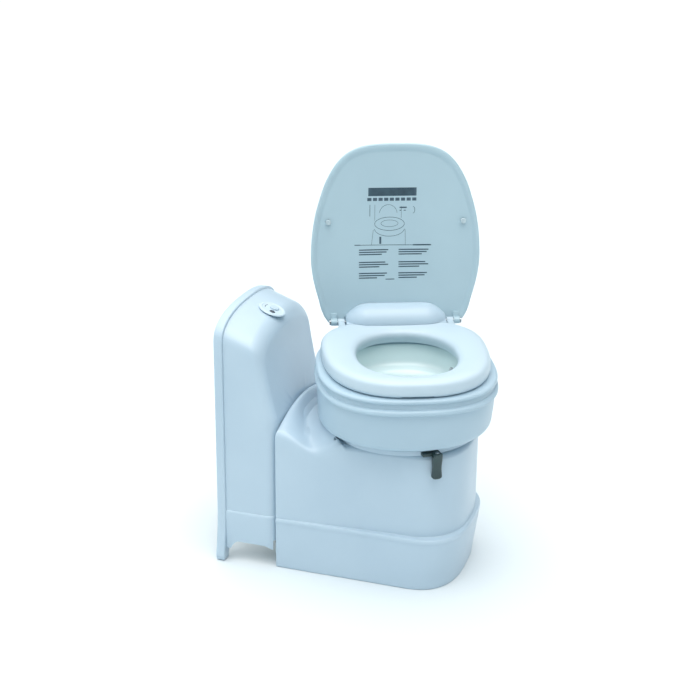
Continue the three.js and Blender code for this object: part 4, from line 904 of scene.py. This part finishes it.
def line(pts, wd=0.7):
    P_ = np.array(pts, float) + (LX, LY)
    D = np.gradient(P_, axis=0)
    D /= np.maximum(1e-9, np.linalg.norm(D, axis=1))[:, None]
    Nn = np.stack([-D[:, 1], D[:, 0]], 1) * wd / 2
    return [(tuple(a + n_), tuple(a - n_)) for a, n_ in zip(P_, Nn)]


heads = [bar(-57, 50, -102, -83.5, 24)]
heads += [bar(x, x + 9.4, -79.5, -72.5, 3) for x in np.linspace(-59, 40.6, 9)]
strips("label_header", heads)
ell = lambda cx_, cy_, a, b, t0=0, t1=360, k=60: [(cx_ + a * math.cos(math.radians(t)), cy_ + b * math.sin(math.radians(t))) for t in np.linspace(t0, t1, k)]
pic = [line(ell(-9, -21, 33, 15), 1.0), line(ell(-9, -22, 19, 7.5), 0.8), line(ell(-9, -12, 34, 19, 8, 172), 0.9), line(ell(-12, -42, 20, 22, 190, 350, 30), 0.8)]
pic += [line([(-53, y) for y in np.linspace(-64, -38, 8)], 1.2), line([(-42, y) for y in np.linspace(-64, -28, 8)], 0.7), line([(17, y) for y in np.linspace(-60, -34, 8)], 0.7)]
pic += [line([(-45 - 4 * t, -8 + 34 * t) for t in np.linspace(0, 1, 8)], 0.7), line([(26 + 1 * t, -8 + 34 * t) for t in np.linspace(0, 1, 8)], 0.7)]
pic += [bar(-31.5, -27, 8, 24, 3), bar(13, 29, -59, -56, 4), bar(13, 17, -52, -50, 2), bar(22, 27, -52, -50, 2), line(ell(42, -52, 5, 8, -80, 80, 14), 0.9)]
pic += [line([(x, 26 + 1.6 * (x + 87) / 172) for x in np.linspace(-87, 85, 40)], 1.2), bar(44, 84, 25.6, 28.6, 8), bar(-87, -74, 25, 27, 3)]
for x0, x1 in ((-77, -11), (12, 79)):
    for j, (y0, k) in enumerate(((36, 3), (64, 3), (89, 3))):
        for q in range(k):
            short = (0.0, 0.06, 0.22, 0.1, 0.0, 0.3, 0.04, 0.12, 0.38)[(j * 3 + q) % 9]
            pic.append(bar(x0, x1 - (x1 - x0) * short, y0 + 5.2 * q, y0 + 5.2 * q + 2.6, 12))
pic.append(bar(-17, 3, 103, 105, 4))
strips("label_lines", pic)

# ------------------------------------------------------------------ floor, light, camera
bpy.ops.mesh.primitive_plane_add(size=80, location=(0.3, 0.1, -0.0006))
floor = bpy.context.object
floor.name = "studio_floor"
fm = bpy.data.materials.new("studio_floor")
fm.use_nodes = True
fb = fm.node_tree.nodes["Principled BSDF"]
fb.inputs["Base Color"].default_value = (0.70, 0.76, 0.79, 1)
fb.inputs["Roughness"].default_value = 0.8
floor.data.materials.append(fm)

world = bpy.data.worlds.new("studio")
world.use_nodes = True
wt = world.node_tree
bg = wt.nodes["Background"]
tc = wt.nodes.new("ShaderNodeTexCoord")
sx = wt.nodes.new("ShaderNodeSeparateXYZ")
wt.links.new(tc.outputs["Generated"], sx.inputs[0])


def span_map(sock, a, b, to_a, to_b):
    n = wt.nodes.new("ShaderNodeMapRange")
    n.inputs["From Min"].default_value, n.inputs["From Max"].default_value = a, b
    n.inputs["To Min"].default_value, n.inputs["To Max"].default_value = to_a, to_b
    wt.links.new(sock, n.inputs["Value"])
    return n.outputs[0]


def pair(op, a, b):
    n = wt.nodes.new("ShaderNodeMath")
    n.operation = op
    wt.links.new(a, n.inputs[0])
    wt.links.new(b, n.inputs[1])
    return n.outputs[0]


# dim towards the nose side, brighter towards the wall side and overhead
low = span_map(sx.outputs["Y"], -0.8, 0.6, 0.0, 0.16)
side_gain = span_map(sx.outputs["Y"], -0.9, 0.7, 0.62, 1.12)
high = span_map(sx.outputs["Z"], 0.22, 0.8, 0.0, 1.0)
keep = span_map(sx.outputs["Z"], 0.22, 0.8, 1.0, 0.0)
gain = wt.nodes.new("ShaderNodeMath")
gain.operation = "MULTIPLY"
wt.links.new(high, gain.inputs[0])
gain.inputs[1].default_value = 1.85
glow = span_map(sx.outputs["Z"], 0.0, 0.13, 0.8, 0.0)
wt.links.new(pair("ADD", glow, pair("MULTIPLY", side_gain, pair("ADD", pair("MULTIPLY", low, keep), gain.outputs[0]))), bg.inputs[1])
tint = wt.nodes.new("ShaderNodeMix")
tint.data_type = "RGBA"
wt.links.new(high, tint.inputs[0])
tint.inputs[6].default_value = (0.7, 0.92, 1.0, 1)
tint.inputs[7].default_value = (1.0, 0.985, 0.97, 1)
wt.links.new(tint.outputs[2], bg.inputs[0])
bpy.context.scene.world = world


def area(name, loc, aim, size, power, colour=(1, 1, 1)):
    d = bpy.data.lights.new(name, "AREA")
    d.shape = "DISK"
    d.size = size
    d.energy = power
    d.color = colour
    ob = bpy.data.objects.new(name, d)
    ob.location = loc
    ob.rotation_mode = "QUATERNION"
    ob.rotation_quaternion = (Vector(aim) - Vector(loc)).to_track_quat("-Z", "Y")
    bpy.context.scene.collection.objects.link(ob)
    return ob


area("overhead", (0.3, 0.5, 3.4), (0, 0, 0.3), 2.6, 10, (1.0, 0.99, 0.98))
sun_data = bpy.data.lights.new("soft_sun", "SUN")
sun_data.energy = 1.25
sun_data.angle = math.radians(50)
sun_data.color = (1.0, 1.0, 0.99)
sun = bpy.data.objects.new("soft_sun", sun_data)
sun.rotation_mode = "QUATERNION"
sun.rotation_quaternion = Vector((0.3, 0.12, -1)).to_track_quat("-Z", "Y")
bpy.context.scene.collection.objects.link(sun)

cam_data = bpy.data.cameras.new("photo_view")
cam_data.lens = 72
cam_data.sensor_width = 36
cam = bpy.data.objects.new("photo_view", cam_data)
bpy.context.scene.collection.objects.link(cam)
cam.location = (-2.6790, -0.7594, 1.5165)
fwd = Vector((0.8901, 0.2937, -0.3486)).normalized()
right = Vector((0.3133, -0.9497, 0.0)).normalized()
up = right.cross(fwd).normalized()
rot = Matrix((right, up, -fwd)).transposed().to_4x4()
cam.matrix_world = Matrix.Translation(cam.location) @ rot @ Matrix.Rotation(math.radians(0.6), 4, "Z")
cam_data.clip_start, cam_data.clip_end = 0.05, 60
bpy.context.scene.camera = cam
bpy.context.scene.view_settings.view_transform = "Standard"
